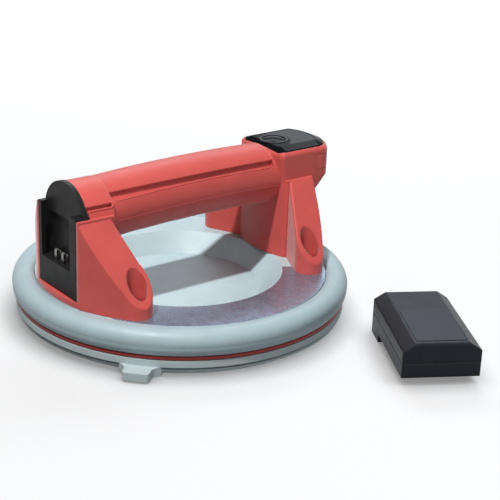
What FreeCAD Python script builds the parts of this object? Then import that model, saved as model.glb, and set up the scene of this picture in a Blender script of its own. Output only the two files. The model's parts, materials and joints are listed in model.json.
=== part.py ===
import FreeCAD, Part
import math
import os

# Battery vacuum lifter for floor tiles, in millimetres.
# Origin: centre of the pad's sealing plane. +Z up, +X from the battery dock towards the control head.

# ---- driving dimensions -------------------------------------------------
# Pad, wear ring, rim ring and dish
PAD_BAND_R = 103.0        # outer radius of the pad's upper band
PAD_LIP_STEP = 1.4        # how far the bottom lip stands back from the band
PAD_GROOVE_DEPTH = 2.0    # depth of the groove above the lip, from the lip's face
PAD_WIDTH = 25.0          # radial width of the sealing annulus
PAD_T = 10.3              # thickness of the pad
LIP_T = 4.4               # height of the bottom lip's upper side
LIP_BEVEL = 2.9           # height of the bevel under the bottom lip
LIP_BEVEL_W = 4.6         # radial width of that bevel
LIP_GROOVE_T = 1.6        # height of the groove above the lip
SEAL_LAND = 5.0           # radial width of each sealing lip
SEAL_DEPTH = 4.5          # depth of the trough between the sealing lips
TAB_ANGLE = -137.5        # direction of the pull tab, degrees about +Z
TAB_REACH = 10.0          # how far the tab stands out of the band
TAB_W = 16.0              # width of the tab at its outer end
TAB_T = 5.2               # thickness of the tab
TAB_Z0 = 0.8              # height of the tab's underside
TAB_NECK_R = 4.5          # fillet where the tab leaves the pad
FLANGE_T = 3.2            # thickness of the plate's outer flange
FLANGE_STEP = 2.6         # how far the flange stands back from the pad's band
RIM_R = 105.0             # outer radius of the rim ring
RIM_IN_R = 91.5           # inner radius of the rim ring
RIM_CROWN_Z = 28.0        # top of the rim ring
RIM_EDGE_Z = 26.0         # height of the rim ring's inner edge
RIM_WIDE_Z = 19.0         # height where the rim ring is widest
WEAR_T = 1.7              # height of the red wear ring
WEAR_W = 3.2              # radial width of the red wear ring
LEDGE_Z = 26.5            # top of the ledge that carries the feet
LEDGE_IN_R = 63.0         # ledge's inner radius, where the slope starts
DISH_FLOOR_R = 50.0       # radius of the flat dish floor
DISH_FLOOR_Z = 15.0       # top of the dish floor
PLATE_WALL = 3.0          # wall of the base plate
SKIRT_T = 3.5             # wall of the skirt under the ledge
PLATE_GAP = 0.3           # gap between skirt and rim ring
RIB_COUNT = 16            # radial ribs under the ledge
RIB_T = 1.8               # thickness of a rib
LABEL_T = 0.3             # thickness of the foil label
LABEL_OUT_R = 90.9        # outer radius of the foil label
LABEL_IN_R = 64.0         # inner radius of the foil label
LABEL_START = -150.0      # first angle of the foil label, degrees
LABEL_END = -34.0         # last angle of the foil label, degrees

# Feet and legs
LEG_SETBACK = 3.4         # how far the legs' outer faces stand back from the plate's skirt
FOOT_BACK = 7.6           # how far the feet's screw axes lie inside the legs' outer faces
FOOT_ANGLE = 37.04        # direction of a screw axis from the long axis, degrees
ROOT_INSET = 4.0          # how far a foot's root reaches into its column
FOOT_R = 9.1              # radius of the rounded foot end
FOOT_EDGE_R = 1.2         # rounding of the edges around a foot's slope
COUNTERBORE_R = 6.1       # radius of the screw's deep counterbore
SCREW_HEAD_R = 4.4        # radius of the foot screw's head
SCREW_HEAD_T = 2.8        # height of the foot screw's head
SCREW_R = 2.4             # radius of the foot screw's shank
SCREW_L = 14.0            # length of the shank below the head
FOOT_FLOOR_T = 5.0        # plastic left under the counterbore
LEG_FLANGE_T = 3.5        # thickness of the flange under the dock
LEG_HALF_W = 24.0         # half width of the legs' columns
LEG_IN_X = 59.5           # inner face of a column on the centre line
LEG_CORNER_X = 64.3       # inner face of a column at its corner
LEG_EDGE_R = 1.5          # rounding of a column's inner corners
FOOT_IN_X = 65.6          # where a foot's inner edge leaves its column
DOCK_FACE_X = -88.2       # front face of the left column
SLOPE_DROP = 18.0         # how far below the head's rim a foot's slope meets its column
SLOPE_END_H = 7.0         # height of a foot at its round end
WALL = 2.6                # wall of the red mouldings

# Grip and cover
GRIP_R = 19.3             # outer radius of the grip
GRIP_RISE = 2.35          # how far the gently arched grip rises above the head's rim
GRIP_TOP_X = 12.0         # where the grip is highest
GRIP_ARCH_R = 1100.0      # lengthwise radius of the arched grip's centre line
BORE_DROP = 1.15          # how far the straight bore's axis lies below the grip's middle
CUFF_R = 22.3             # outer radius of the cuff behind the dock
CUFF_END_X = -62.0        # where the cuff steps down to the grip
CUFF_START_X = -80.4      # where the cuff meets the dock's arch plate
GRIP_END_X = 58.4         # where the grip cover ends before the head
GROOVE_DEPTH = 2.7        # depth of the groove along the cover's edge
GRIP_GROOVE = (27.2, 41.4)  # groove on the grip, degrees above the horizontal
CUFF_GROOVE = (26.5, 32.5)  # groove on the cuff, degrees above the horizontal
STEP_T = 1.6              # thickness of the cover's step between cuff and grip
STEP_RIM = 2.2            # what the step leaves around the grip's bore
LIP_OVERLAP = 9.0         # degrees of hidden lip under the cover's edge
BORE_PLAY = 0.8           # what the straight bore leaves to the arched grip
WAVE_COUNT = 4            # finger waves under the grip
WAVE_PITCH = 23.0         # distance between finger waves
WAVE_R = 20.0             # radius of a finger wave
WAVE_DEPTH = 3.0          # depth of a finger wave
WAVE_X0 = -40.0           # middle of the first finger wave

# Head
HEAD_TOP_X0 = 58.6        # head's face towards the grip, high up on the centre line
HEAD_TOP_CORNER_X = 61.0  # that face at the head's side
HEAD_NEAR_R = 3.0         # rounding of the head's corners towards the grip
HEAD_LEVEL_H = 4.4        # height of the head's upright top, above its flare
HEAD_SIDE_X = 96.5        # where the head's straight side ends
HEAD_X1 = 106.9           # head's far end on the centre line
HEAD_HALF_W = 22.5        # half width of the head
HEAD_TOP_Z = 96.4         # red rim of the head
HEAD_RIM_R = 3.0          # rounding of that rim's outer edge
HEAD_H = 35.4             # height of the head down to its lowest edge
HEAD_UNDERCUT_W = 15.0    # how far the head's underside is cut back at its end
HEAD_UNDERCUT_H = 16.0    # height of that undercut
HEAD_CORNER_R = 6.5       # rounding of the head's corners at its bowed end
PANEL_MARGIN = 2.3        # red rim left at the black panel's sides
PANEL_X0 = 60.9           # black panel's edge towards the grip
SHOULDER_LAND = 0.7       # level rim between the head's shoulder and its panel
PANEL_NEAR_R = 4.5        # rounding of the black panel's corners towards the grip
PANEL_CORNER_R = 7.0      # rounding of the black panel's corners at its bowed end
PANEL_TOP_R = 1.5         # least rounding of the corners of the panel's level top
PANEL_T = 2.5             # height of the black panel above the rim
PANEL_SEAT = 2.6          # depth of the panel's seat in the head
SEAT_GAP = 0.1            # gap around the panel in its seat
PANEL_EDGE_T = 0.4        # upright edge of the panel above the rim
PANEL_BEVEL_W = 5.8       # width of the bevel around the panel's top
PANEL_BEVEL_BACK = 2.4    # width of that bevel towards the grip
BUTTON_X = 70.6           # centre of the power button
BUTTON_R = 7.7            # radius of the power button
BUTTON_GAP = 0.35         # gap between button and panel
BUTTON_RISE = 1.2         # how far the button stands out
BUTTON_TRAVEL = 1.2       # travel of the button
BUTTON_SINK = 3.4         # depth of the button's skirt below the panel's top
WINDOW_X0 = 74.5          # display window's first edge
WINDOW_ARC_R = 10.9       # radius of the window's edge around the button
WINDOW_MARGIN = 0.8       # level black left between window and bevel
WINDOW_T = 1.2            # thickness of the display window
END_COVER_X0 = 88.0       # where the head's end cover starts on both sides
END_COVER_DROP = 4.9      # how far the end cover lies below the head's rim
END_COVER_H = 10.0        # height of the head's end cover
END_COVER_T = 2.0         # thickness of the head's end cover

# Battery dock
RAIL_FACE_X = -88.5       # front face of the dock's rails
DOCK_HALF_W = 21.5        # half width of the dock
DOCK_Z0 = 30.5            # lower edge of the dock
SILL_Z = 47.0             # top of the dock's lower panel
RAIL_DROP = 15.4          # how far the dock's rails end below the head's rim
CAVITY_Y0 = -14.6         # near side of the dock's cavity
CAVITY_Y1 = 18.1          # far side of the dock's cavity
DOCK_BACK_X = -78.9       # back of the dock's floor
DOCK_WALL = 2.0           # wall of the dock
ARCH_X0 = -83.4           # front of the arch plate
ARCH_R = 22.8             # radius of the arch plate
EAR_DROP = 16.4           # how far the arch's ears end below the head's rim
EAR_GAP = 0.2             # gap between the arch's ears and the column
BLADE_W = 2.4             # width of a contact blade
BLADE_T = 0.6             # thickness of a contact blade
BLADE_Y = (7.2, -0.8)     # middles of the two contact blades
BLADE_H = 7.0             # height of the contact blades above the sill

# Pump inside the grip
MOTOR_X0 = -34.0          # rear end of the motor can
MOTOR_L = 34.0            # length of the motor can
MOTOR_R = 11.0            # radius of the motor can
MOTOR_WALL = 1.2          # wall of the motor can
ROTOR_R = 7.6             # radius of the rotor core
SHAFT_R = 1.2             # radius of the motor shaft
SHAFT_GAP = 0.05          # running clearance of the shaft
SHAFT_PLAY = 0.3          # gap at the shaft's rear end
SHAFT_INSET = 2.5         # how far the shaft ends before the crank housing does
BEARING_WALL = 2.2        # wall of the can's two bearings
BEARING_L = 2.2           # how far a bearing reaches into the can
CORE_INSET = 8.0          # distance from the can's ends to the rotor core
ROTOR_SLOTS = 5           # winding slots around the rotor core
ROTOR_SLOT_W = 1.6        # width of a winding slot
ROTOR_SLOT_FLOOR = 0.6    # a winding slot's floor, as a share of the core's radius
COMMUTATOR_R = 3.0        # radius of the commutator
COMMUTATOR_L = 3.0        # length of the commutator
MAGNET_T = 1.8            # thickness of the two magnet shells
MAGNET_INSET = 5.0        # distance from the can's end walls to the magnets
MAGNET_START = 30.0       # first angle of the upper magnet shell, degrees
PUMP_R = 12.0             # radius of the pump
CRANK_L = 10.0            # length of the pump's crank housing
CRANK_R = 8.0             # radius of the crank housing's bore
DIAPHRAGM_T = 1.2         # thickness of the diaphragm
VALVE_L = 12.0            # length of the pump's valve head
VALVE_CHAMBER_L = 3.0     # depth of the chamber behind the diaphragm
ECCENTRIC_R = 4.0         # radius of the eccentric on the shaft
ECCENTRIC_OFF = 1.2       # throw of the eccentric
ECCENTRIC_L = 5.0         # length of the eccentric
ECCENTRIC_START = 1.5     # distance from the motor can to the eccentric
CUSHION_L = 4.0           # length of each rubber cushion
CUSHION_INSET = 3.0       # distance from the motor's and the pump's ends to a cushion
CUSHION_GAP = 0.1         # gap between a cushion and the grip's wall
NIPPLE_R = 1.5            # radius of the hose nipples
NIPPLE_BORE_R = 0.8       # radius of the nipples' bores
NIPPLE_L = 6.0            # length of a hose nipple
NIPPLE_DROP = 5.0         # how far the suction nipple lies below the pump's axis
HOSE_R = 2.6              # outer radius of the vacuum hose
HOSE_GAP = 0.05           # slip between hose and nipple
HOSE_STOP = 0.5           # gap between a hose's end and the shoulder it is pushed to
CHECK_L = 9.0             # length of the check valve's body
CHECK_R = 4.5             # radius of the check valve's body
PORT_R = 1.8              # radius of the suction port
FITTING_R = 5.0           # radius of the port fitting's flange
FITTING_T = 2.5           # thickness of the port fitting's flange
FILTER_R = 7.0            # radius of the port's filter disc
FILTER_T = 1.2            # thickness of the port's filter disc
FILTER_SEAT = 1.0         # depth of the filter's seat under the ledge

# Control board in the head
BOARD_T = 1.6             # thickness of the circuit boards
BOARD_X0 = 64.0           # first edge of the control board
BOARD_X1 = 98.5           # last edge of the control board
BOARD_HALF_W = 15.0       # half width of the control board
BOARD_DROP = 5.1          # distance from the panel's underside down to the board
SHELF_T = 2.0             # shelf of the head under the panel
SHELF_OPEN_HALF_W = 10.4  # half width of the opening in the shelf
POST_R = 2.4              # radius of the board's posts
POST_INSET = 3.4          # distance from the board's edges to its posts
BOARD_SCREW_R = 1.0       # radius of a board screw
BOARD_SCREW_HEAD_R = 2.0  # radius of a board screw's head
BOARD_SCREW_HEAD_T = 1.2  # height of a board screw's head
STEM_R = 2.5              # radius of the button's stem
STEM_BELOW = 0.4          # how far the stem reaches below the panel
PLUNGER_R = 1.7           # radius of the switch's plunger
PLUNGER_L = 3.0           # length of the switch's plunger
PLUNGER_GAP = 0.06        # running clearance of the plunger
SWITCH_SIDE = 6.2         # side of the switch body
SWITCH_H = 3.2            # height of the switch body
DISPLAY_X0 = 84.0         # display module's first edge
DISPLAY_X1 = 95.5         # display module's last edge
DISPLAY_HALF_W = 8.6      # half width of the display module
CHIP_START = 12.0         # distance from the control board's edge to its chip
CHIP_SIDE = 7.0           # side of the chip
CHIP_H = 1.4              # height of the chip
COIL_START = 26.0         # distance from the control board's edge to its coil's centre
COIL_R = 3.2              # radius of the coil
COIL_H = 4.5              # height of the coil
COIL_Y = -7.0             # place of the coil beside the centre plane
LEAD_R = 0.9              # radius of a power lead
LEAD_START_H = 3.0        # height of the leads' start above the dock's sill
LEAD_RISE_BACK = 8.0      # how far behind the cuff's step the leads rise
LEAD_SWEEP = 14.0         # length and height of the leads' sweep over the motor
LEAD_FALL = 28.0          # length of the leads' fall towards the head
LEAD_NEAR = 4.0           # how far before the head that fall ends
LEAD_UNDER = 5.0          # how far the leads pass under the control board
LEAD_END = 4.5            # distance from the control board's edge to the leads' ends
LEAD_Y = 2.4              # distance of each power lead from the centre plane
LEAD_OVER = 3.0           # height of the leads above the motor

# Battery pack, lying on the floor beside the lifter
PACK_W = 46.0             # width of the pack
PACK_L = 75.0             # length of the pack
PACK_H = 21.0             # height of the pack's case above its raised underside
PACK_RAISE = 5.0          # height of the slide block under the case
PACK_CHAMFER_W = 7.3      # chamfer along the top's long edges, across
PACK_CHAMFER_H = 4.8      # chamfer along the top's long edges, down
PACK_YAW = -29.6          # direction of the pack's width, degrees
PACK_CORNER = (39.9, -161.9)  # near left corner of the case on the floor plan
BLOCK_W = 32.0            # width of the slide block
BLOCK_START = 22.0        # where the slide block starts along the pack
HEEL_START = 58.0         # where the full-width heel starts along the pack
SLOT_W = 3.2              # width of a contact slot in the slide block
SLOT_L = 9.0              # depth of a contact slot
CELL_R = 9.0              # radius of a battery cell
CELL_L = 65.0             # length of a battery cell
CASE_WALL = 1.3           # wall of the battery case
CASE_SPLIT = 9.0          # height of the case's parting line above its underside
CELL_GAP = 0.15           # play around a battery cell
TERMINAL_T = 0.6          # thickness of a battery terminal
PACK_LABEL_T = 0.25       # thickness of the pack's label
PACK_LABEL_MARGIN = 4.0   # label's distance from the case's chamfers
PACK_BOARD_W = 24.0       # width of the pack's circuit board
PACK_EDGE_R = 1.2         # rounding of the edges around the pack's top

# ---- worked-out places --------------------------------------------------
PAD_LIP_R = PAD_BAND_R - PAD_LIP_STEP
PAD_GROOVE_R = PAD_LIP_R - PAD_GROOVE_DEPTH
PAD_INNER_R = PAD_BAND_R - PAD_WIDTH
FAR = 4 * PAD_BAND_R      # beyond every piece, for cutting shapes
FLANGE_Z0 = PAD_T
FLANGE_Z1 = FLANGE_Z0 + FLANGE_T
FLANGE_R = PAD_BAND_R - FLANGE_STEP
SKIRT_R = RIM_IN_R - PLATE_GAP
LEG_R = SKIRT_R - LEG_SETBACK
LEG_OUT_X = math.sqrt(LEG_R ** 2 - LEG_HALF_W ** 2)
FOOT_X = (LEG_R - FOOT_BACK) * math.cos(math.radians(FOOT_ANGLE))
FOOT_Y = (LEG_R - FOOT_BACK) * math.sin(math.radians(FOOT_ANGLE))
SLOPE_TOP_Z = HEAD_TOP_Z - SLOPE_DROP
SLOPE_END_Z = LEDGE_Z + SLOPE_END_H
CUFF_Z = HEAD_TOP_Z - CUFF_R
GRIP_TOP_Z = HEAD_TOP_Z + GRIP_RISE
GRIP_AXIS_Z = GRIP_TOP_Z - GRIP_R - BORE_DROP
HEAD_FLARE_Z = HEAD_TOP_Z - HEAD_LEVEL_H
HEAD_BOTTOM_Z = HEAD_TOP_Z - HEAD_H
END_COVER_Z0 = HEAD_TOP_Z - END_COVER_DROP - END_COVER_H
RAIL_TOP_Z = HEAD_TOP_Z - RAIL_DROP
ARCH_EAR_Z = HEAD_TOP_Z - EAR_DROP
BLADE_TOP_Z = SILL_Z + BLADE_H
FOOT_SLOPE = (SLOPE_TOP_Z - SLOPE_END_Z) / (FOOT_Y + FOOT_R - LEG_HALF_W)
SCREW_SEAT_Z = LEDGE_Z + FOOT_FLOOR_T
PANEL_Z0 = HEAD_TOP_Z - PANEL_SEAT
PANEL_Z1 = HEAD_TOP_Z + PANEL_T
BOARD_Z1 = PANEL_Z0 - BOARD_DROP
BOARD_Z0 = BOARD_Z1 - BOARD_T
PORT_X = (LEG_IN_X + LEG_OUT_X) / 2
PORT_XY = (PORT_X, 0.0)
PUMP_Z = GRIP_AXIS_Z
LEAD_TOP_Z = PUMP_Z + MOTOR_R + LEAD_OVER
MOTOR_X1 = MOTOR_X0 + MOTOR_L
CRANK_X1 = MOTOR_X1 + CRANK_L
VALVE_END_X = CRANK_X1 + DIAPHRAGM_T + VALVE_L
VALVE_X0 = VALVE_END_X + 2 * NIPPLE_L + 2 * HOSE_STOP
GRIP_BORE_R = GRIP_R - GROOVE_DEPTH - WALL - BORE_PLAY
FEET = [(end * FOOT_X, side * FOOT_Y) for end in (-1, 1) for side in (-1, 1)]

V = FreeCAD.Vector
UP = V(0, 0, 1)


# ---- helpers ------------------------------------------------------------
def box(x0, x1, y0, y1, z0, z1):
    return Part.makeBox(x1 - x0, y1 - y0, z1 - z0, V(x0, y0, z0))


def rod(r, x, y, z0, z1):
    return Part.makeCylinder(r, z1 - z0, V(x, y, z0))


def rod_x(r, x0, x1, y, z):
    return Part.makeCylinder(r, x1 - x0, V(x0, y, z), V(1, 0, 0))


def rod_y(r, y0, y1, x, z):
    return Part.makeCylinder(r, y1 - y0, V(x, y0, z), V(0, 1, 0))


def ring(r_out, r_in, z0, z1):
    return rod(r_out, 0, 0, z0, z1).cut(rod(r_in, 0, 0, z0 - 1, z1 + 1))


def polygon_face(points):
    return Part.Face(Part.makePolygon(points + [points[0]]))


def revolve_rz(points):
    """A solid of revolution about Z from (radius, height) points."""
    face = polygon_face([V(r, 0, z) for r, z in points])
    return face.revolve(V(0, 0, 0), UP, 360)


def edges_face(edges):
    return Part.Face(Part.Wire(Part.__sortEdges__(edges)))


def line(a, b):
    return Part.makeLine(a, b)


def arc(a, b, c):
    return Part.Arc(a, b, c).toShape()


def mirror_y(shape):
    return shape.mirror(V(0, 0, 0), V(0, 1, 0))


def fuse(first, *others):
    out = first
    for other in others:
        out = out.fuse(other)
    return out.removeSplitter()


def tube_path(points, r):
    """A round bar along straight runs joined by tangent arcs, each as large as its runs allow."""
    edges = []
    start = points[0]
    for before, here, after in zip(points, points[1:], points[2:]):
        back = 0.45 * min((before - here).Length, (after - here).Length)
        a = (before - here).normalize()
        b = (after - here).normalize()
        half = a.getAngle(b) / 2
        bend_r = back * math.tan(half)
        p = here + a * back
        q = here + b * back
        bisector = (a + b).normalize()
        middle = here + bisector * (bend_r / math.sin(half) - bend_r)
        edges.append(line(start, p))
        edges.append(arc(p, middle, q))
        start = q
    edges.append(line(start, points[-1]))
    profile = Part.Wire([Part.makeCircle(r, points[0], points[1] - points[0])])
    return Part.Wire(edges).makePipeShell([profile], True, False)


def wedge(z_axis, x0, x1, deg0):
    """The space above a ridge along X: from deg0 on the near side round to deg0 on the far side."""
    rise = FAR * math.sin(math.radians(deg0))
    out = FAR * math.cos(math.radians(deg0))
    return polygon_face([
        V(x0, 0, z_axis), V(x0, -out, z_axis + rise), V(x0, 0, z_axis + FAR + rise),
        V(x0, out, z_axis + rise)]).extrude(V(x1 - x0, 0, 0))


# ---- pad, rings and dish ------------------------------------------------
def suction_pad():
    groove_z = LIP_T + LIP_GROOVE_T
    lip_foot_r = PAD_LIP_R - LIP_BEVEL_W
    trough_out = lip_foot_r - SEAL_LAND
    trough_in = PAD_INNER_R + SEAL_LAND
    body = revolve_rz([
        (PAD_INNER_R, 0), (trough_in, 0), (trough_in + 1, SEAL_DEPTH), (trough_out - 1, SEAL_DEPTH),
        (trough_out, 0), (lip_foot_r, 0), (PAD_LIP_R, LIP_BEVEL), (PAD_LIP_R, LIP_T), (PAD_GROOVE_R, LIP_T),
        (PAD_GROOVE_R, groove_z), (PAD_BAND_R, groove_z), (PAD_BAND_R, PAD_T), (PAD_INNER_R, PAD_T)])
    return fuse(body, pull_tab())


def pull_tab():
    """The tab with its flared neck, drawn along +X and turned to its place."""
    half = TAB_W / 2
    end = PAD_BAND_R + TAB_REACH
    corner = TAB_REACH * 0.25
    z = TAB_Z0
    root = PAD_GROOVE_R - 2
    neck = PAD_BAND_R + TAB_NECK_R * 0.55
    flare = half + TAB_NECK_R

    def p(x, y):
        return V(x, y, z)

    diag = TAB_NECK_R * (1 - math.sqrt(0.5))
    edges = [
        line(p(root, -flare), p(PAD_BAND_R - 1.2, -flare)),
        arc(p(PAD_BAND_R - 1.2, -flare), p(neck - diag, -half - diag), p(neck + 1, -half)),
        line(p(neck + 1, -half), p(end - corner, -half)),
        arc(p(end - corner, -half), p(end - corner * 0.29, -half + corner * 0.29), p(end, -half + corner)),
        line(p(end, -half + corner), p(end, half - corner)),
        arc(p(end, half - corner), p(end - corner * 0.29, half - corner * 0.29), p(end - corner, half)),
        line(p(end - corner, half), p(neck + 1, half)),
        arc(p(neck + 1, half), p(neck - diag, half + diag), p(PAD_BAND_R - 1.2, flare)),
        line(p(PAD_BAND_R - 1.2, flare), p(root, flare)),
        line(p(root, flare), p(root, -flare)),
    ]
    tab = edges_face(edges).extrude(V(0, 0, TAB_T))
    tab.rotate(V(0, 0, 0), UP, TAB_ANGLE)
    return tab


def wear_ring():
    z0 = FLANGE_Z0 + (FLANGE_T - WEAR_T) / 2
    return ring(PAD_BAND_R, PAD_BAND_R - WEAR_W, z0, z0 + WEAR_T)


def rim_ring():
    bottom = FLANGE_Z1
    crown_r = RIM_IN_R + (RIM_R - RIM_IN_R) * 0.35
    foot_r = RIM_R - 1.8
    mid = V((crown_r + RIM_R) / 2 + 2.3, 0, (RIM_CROWN_Z + RIM_WIDE_Z) / 2 + 2.6)
    low = V(RIM_R - 0.35, 0, (RIM_WIDE_Z + bottom) / 2)
    a = V(RIM_IN_R, 0, bottom)
    b = V(RIM_IN_R, 0, RIM_EDGE_Z)
    c = V(crown_r, 0, RIM_CROWN_Z)
    d = V(RIM_R, 0, RIM_WIDE_Z)
    e = V(foot_r, 0, bottom)
    over = V((b.x + c.x) / 2 - 0.5, 0, (b.z + c.z) / 2 + 0.5)
    face = edges_face([line(a, b), arc(b, over, c), arc(c, mid, d), arc(d, low, e), line(e, a)])
    return face.revolve(V(0, 0, 0), UP, 360)


def base_plate():
    under = LEDGE_Z - PLATE_WALL
    inner_skirt = SKIRT_R - SKIRT_T
    floor_low = DISH_FLOOR_Z - PLATE_WALL
    z0 = FLANGE_Z0 + (FLANGE_T - WEAR_T) / 2
    groove_r = PAD_BAND_R - WEAR_W
    shell = revolve_rz([
        (0, floor_low), (DISH_FLOOR_R + 1, floor_low), (LEDGE_IN_R + 1, under), (inner_skirt, under),
        (inner_skirt, FLANGE_Z0), (FLANGE_R, FLANGE_Z0), (FLANGE_R, z0), (groove_r, z0),
        (groove_r, z0 + WEAR_T), (FLANGE_R, z0 + WEAR_T), (FLANGE_R, FLANGE_Z1), (SKIRT_R, FLANGE_Z1),
        (SKIRT_R, LEDGE_Z), (LEDGE_IN_R, LEDGE_Z), (DISH_FLOOR_R, DISH_FLOOR_Z), (0, DISH_FLOOR_Z)])
    extras = []
    for number in range(RIB_COUNT):
        rib = polygon_face([
            V(DISH_FLOOR_R + 2, -RIB_T / 2, floor_low + 1.5), V(inner_skirt + 1, -RIB_T / 2, FLANGE_Z0 + 4),
            V(inner_skirt + 1, -RIB_T / 2, under + 1), V(LEDGE_IN_R + 2, -RIB_T / 2, under + 1)])
        rib = rib.extrude(V(0, RIB_T, 0))
        rib.rotate(V(0, 0, 0), UP, (number + 0.5) * 360 / RIB_COUNT)
        extras.append(rib)
    for x, y in FEET:
        extras.append(rod(SCREW_R + 2.6, x, y, screw_tip_z() - 1.5, under + 1))
    plate = fuse(shell, *extras)
    for x, y in FEET:
        plate = plate.cut(rod(SCREW_R, x, y, screw_tip_z(), LEDGE_Z + 1))
    port = fuse(rod(PORT_R, *PORT_XY, under - 5, LEDGE_Z + 5),
                rod(FILTER_R, *PORT_XY, FLANGE_Z0, under + FILTER_SEAT))
    return plate.cut(port)


def screw_tip_z():
    return SCREW_SEAT_Z - SCREW_L


def port_filter():
    z1 = LEDGE_Z - PLATE_WALL + FILTER_SEAT
    return rod(FILTER_R - 0.1, *PORT_XY, z1 - FILTER_T, z1)


def rating_label():
    sweep = LABEL_END - LABEL_START
    face = polygon_face([V(r, 0, z) for r, z in (
        (LABEL_IN_R, LEDGE_Z), (LABEL_OUT_R, LEDGE_Z), (LABEL_OUT_R, LEDGE_Z + LABEL_T),
        (LABEL_IN_R, LEDGE_Z + LABEL_T))])
    label = face.revolve(V(0, 0, 0), UP, sweep)
    label.rotate(V(0, 0, 0), UP, LABEL_START)
    return label.cut(foot(-1)).cut(foot(1))


# ---- handle -------------------------------------------------------------
def foot(side):
    """The near foot of one leg (side -1 left, +1 right), cut by its slope."""
    root_y = -LEG_HALF_W + ROOT_INSET
    centre = V(side * FOOT_X, -FOOT_Y, LEDGE_Z)
    inner = V(side * FOOT_IN_X, -LEG_HALF_W, LEDGE_Z)
    outer_x = LEG_OUT_X if side > 0 else DOCK_FACE_X
    corner = V(outer_x, -LEG_HALF_W, LEDGE_Z)
    # the inner edge meets the round end in a tangent
    away = inner - centre
    turn = math.acos(FOOT_R / away.Length)
    angle = math.atan2(away.y, away.x) + side * turn
    tangent = centre + V(FOOT_R * math.cos(angle), FOOT_R * math.sin(angle), 0)
    root = inner + (inner - tangent) * (ROOT_INSET / (inner.y - tangent.y))
    # the outer edge leaves the round end where it is farthest from the pad's centre
    outward = V(centre.x, centre.y, 0).normalize()
    touch = centre + outward * FOOT_R
    tip = centre + V(0, -FOOT_R, 0)
    bow = V(touch.x + corner.x, touch.y + corner.y, 0).normalize()
    bow = bow * ((math.hypot(touch.x, touch.y) + math.hypot(corner.x, corner.y)) / 2)
    edges = [
        line(root, tangent), arc(tangent, tip, touch), arc(touch, V(bow.x, bow.y, LEDGE_Z), corner),
        line(corner, V(corner.x, root_y, LEDGE_Z)), line(V(corner.x, root_y, LEDGE_Z), root)]
    body = edges_face(edges).extrude(V(0, 0, FAR))
    near_y = root_y + ROOT_INSET
    slope = polygon_face([
        V(-FAR, near_y, slope_z(near_y)), V(-FAR, -LEG_R, slope_z(-LEG_R)), V(-FAR, -LEG_R, 2 * FAR),
        V(-FAR, near_y, 2 * FAR)]).extrude(V(2 * FAR, 0, 0))
    body = body.cut(slope)
    rim = [edge for edge in body.Edges if borders_slope(edge, root_y)]
    return body.makeFillet(FOOT_EDGE_R, rim).common(box(-FAR, FAR, -FAR, FAR, 0, SLOPE_TOP_Z))


def slope_z(y):
    """Height of a near foot's slope at y."""
    return SLOPE_TOP_Z + FOOT_SLOPE * (LEG_HALF_W + y)


def borders_slope(edge, root_y):
    """Whether an edge runs around a foot's slope; its edge inside the column doesn't count."""
    ends = [vertex.Point for vertex in edge.Vertexes]
    if min(p.y for p in ends) > root_y - 0.01:
        return False
    return all(abs(slope_z(p.y) - p.z) < 0.05 for p in ends)


def column_plan(side, z, outer_x, shrink=0.0):
    half = LEG_HALF_W - shrink
    a = V(side * (LEG_CORNER_X + shrink), -half, z)
    b = V(side * (LEG_IN_X + shrink), 0, z)
    c = V(side * (LEG_CORNER_X + shrink), half, z)
    d = V(outer_x, half, z)
    e = V(outer_x, -half, z)
    return edges_face([arc(a, b, c), line(c, d), line(d, e), line(e, a)])


def leg_face_x(y):
    """Where a column's bowed inner face lies at the distance y from the centre plane."""
    bow = LEG_CORNER_X - LEG_IN_X
    r = (bow ** 2 + LEG_HALF_W ** 2) / (2 * bow)
    return LEG_IN_X + r - math.sqrt(r ** 2 - y ** 2)


def head_plan(z, middle_x, corner_x, shrink=0.0, back=0.0):
    """The head's plan; shrink moves its outline inwards and back moves its bowed end alone."""
    half = HEAD_HALF_W - shrink
    side_x = HEAD_SIDE_X - back - shrink * 0.4
    a = V(corner_x + shrink, -half, z)
    b = V(side_x, -half, z)
    c = V(HEAD_X1 - back - shrink, 0, z)
    d = V(side_x, half, z)
    e = V(corner_x + shrink, half, z)
    return edges_face([line(a, b), arc(b, c, d), line(d, e), arc(e, V(middle_x + shrink, 0, z), a)])


def upright_fillet(shape, r, x0, x1):
    """Rounds the edges of a prism that stand upright between x0 and x1."""
    picked = []
    for edge in shape.Edges:
        box_ = edge.BoundBox
        if box_.XLength < 0.01 and box_.YLength < 0.01 and x0 < box_.XMin < x1:
            picked.append(edge)
    return shape.makeFillet(r, picked)


def lowest_wire(block):
    return min(block.Faces, key=lambda face: face.CenterOfMass.z).OuterWire


def head_slab(z, height, faces, shrink=0.0, back=0.0):
    """An upright piece of the head with its four corners rounded."""
    slab = head_plan(z, faces[0], faces[1], shrink, back).extrude(V(0, 0, height))
    slab = upright_fillet(slab, max(HEAD_NEAR_R - shrink, 0.4), 0, BUTTON_X)
    return upright_fillet(slab, HEAD_CORNER_R - shrink, BUTTON_X, FAR)


def head_form(shrink=0.0):
    """The head in three stages: its top, the flare over the column, and the end that slants back."""
    leg_faces = (LEG_IN_X, leg_face_x(HEAD_HALF_W))
    knee = HEAD_BOTTOM_Z + HEAD_UNDERCUT_H
    top_faces = (HEAD_TOP_X0, HEAD_TOP_CORNER_X)
    top = head_slab(HEAD_FLARE_Z, HEAD_TOP_Z - HEAD_FLARE_Z, top_faces, shrink)
    waist = lowest_wire(head_slab(knee, 1, leg_faces, shrink))
    foot_wire = lowest_wire(head_slab(HEAD_BOTTOM_Z, 1, leg_faces, shrink, HEAD_UNDERCUT_W))
    flare = Part.makeLoft([waist, lowest_wire(top)], True, True)
    return top, flare, Part.makeLoft([foot_wire, waist], True, True)


def head_block():
    top, flare, low = head_form()
    rim = [edge for edge in top.Edges if edge.BoundBox.ZMin > HEAD_TOP_Z - 0.01]
    return top.makeFillet(HEAD_RIM_R, rim).fuse(flare).fuse(low).cut(head_shoulder())


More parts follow.
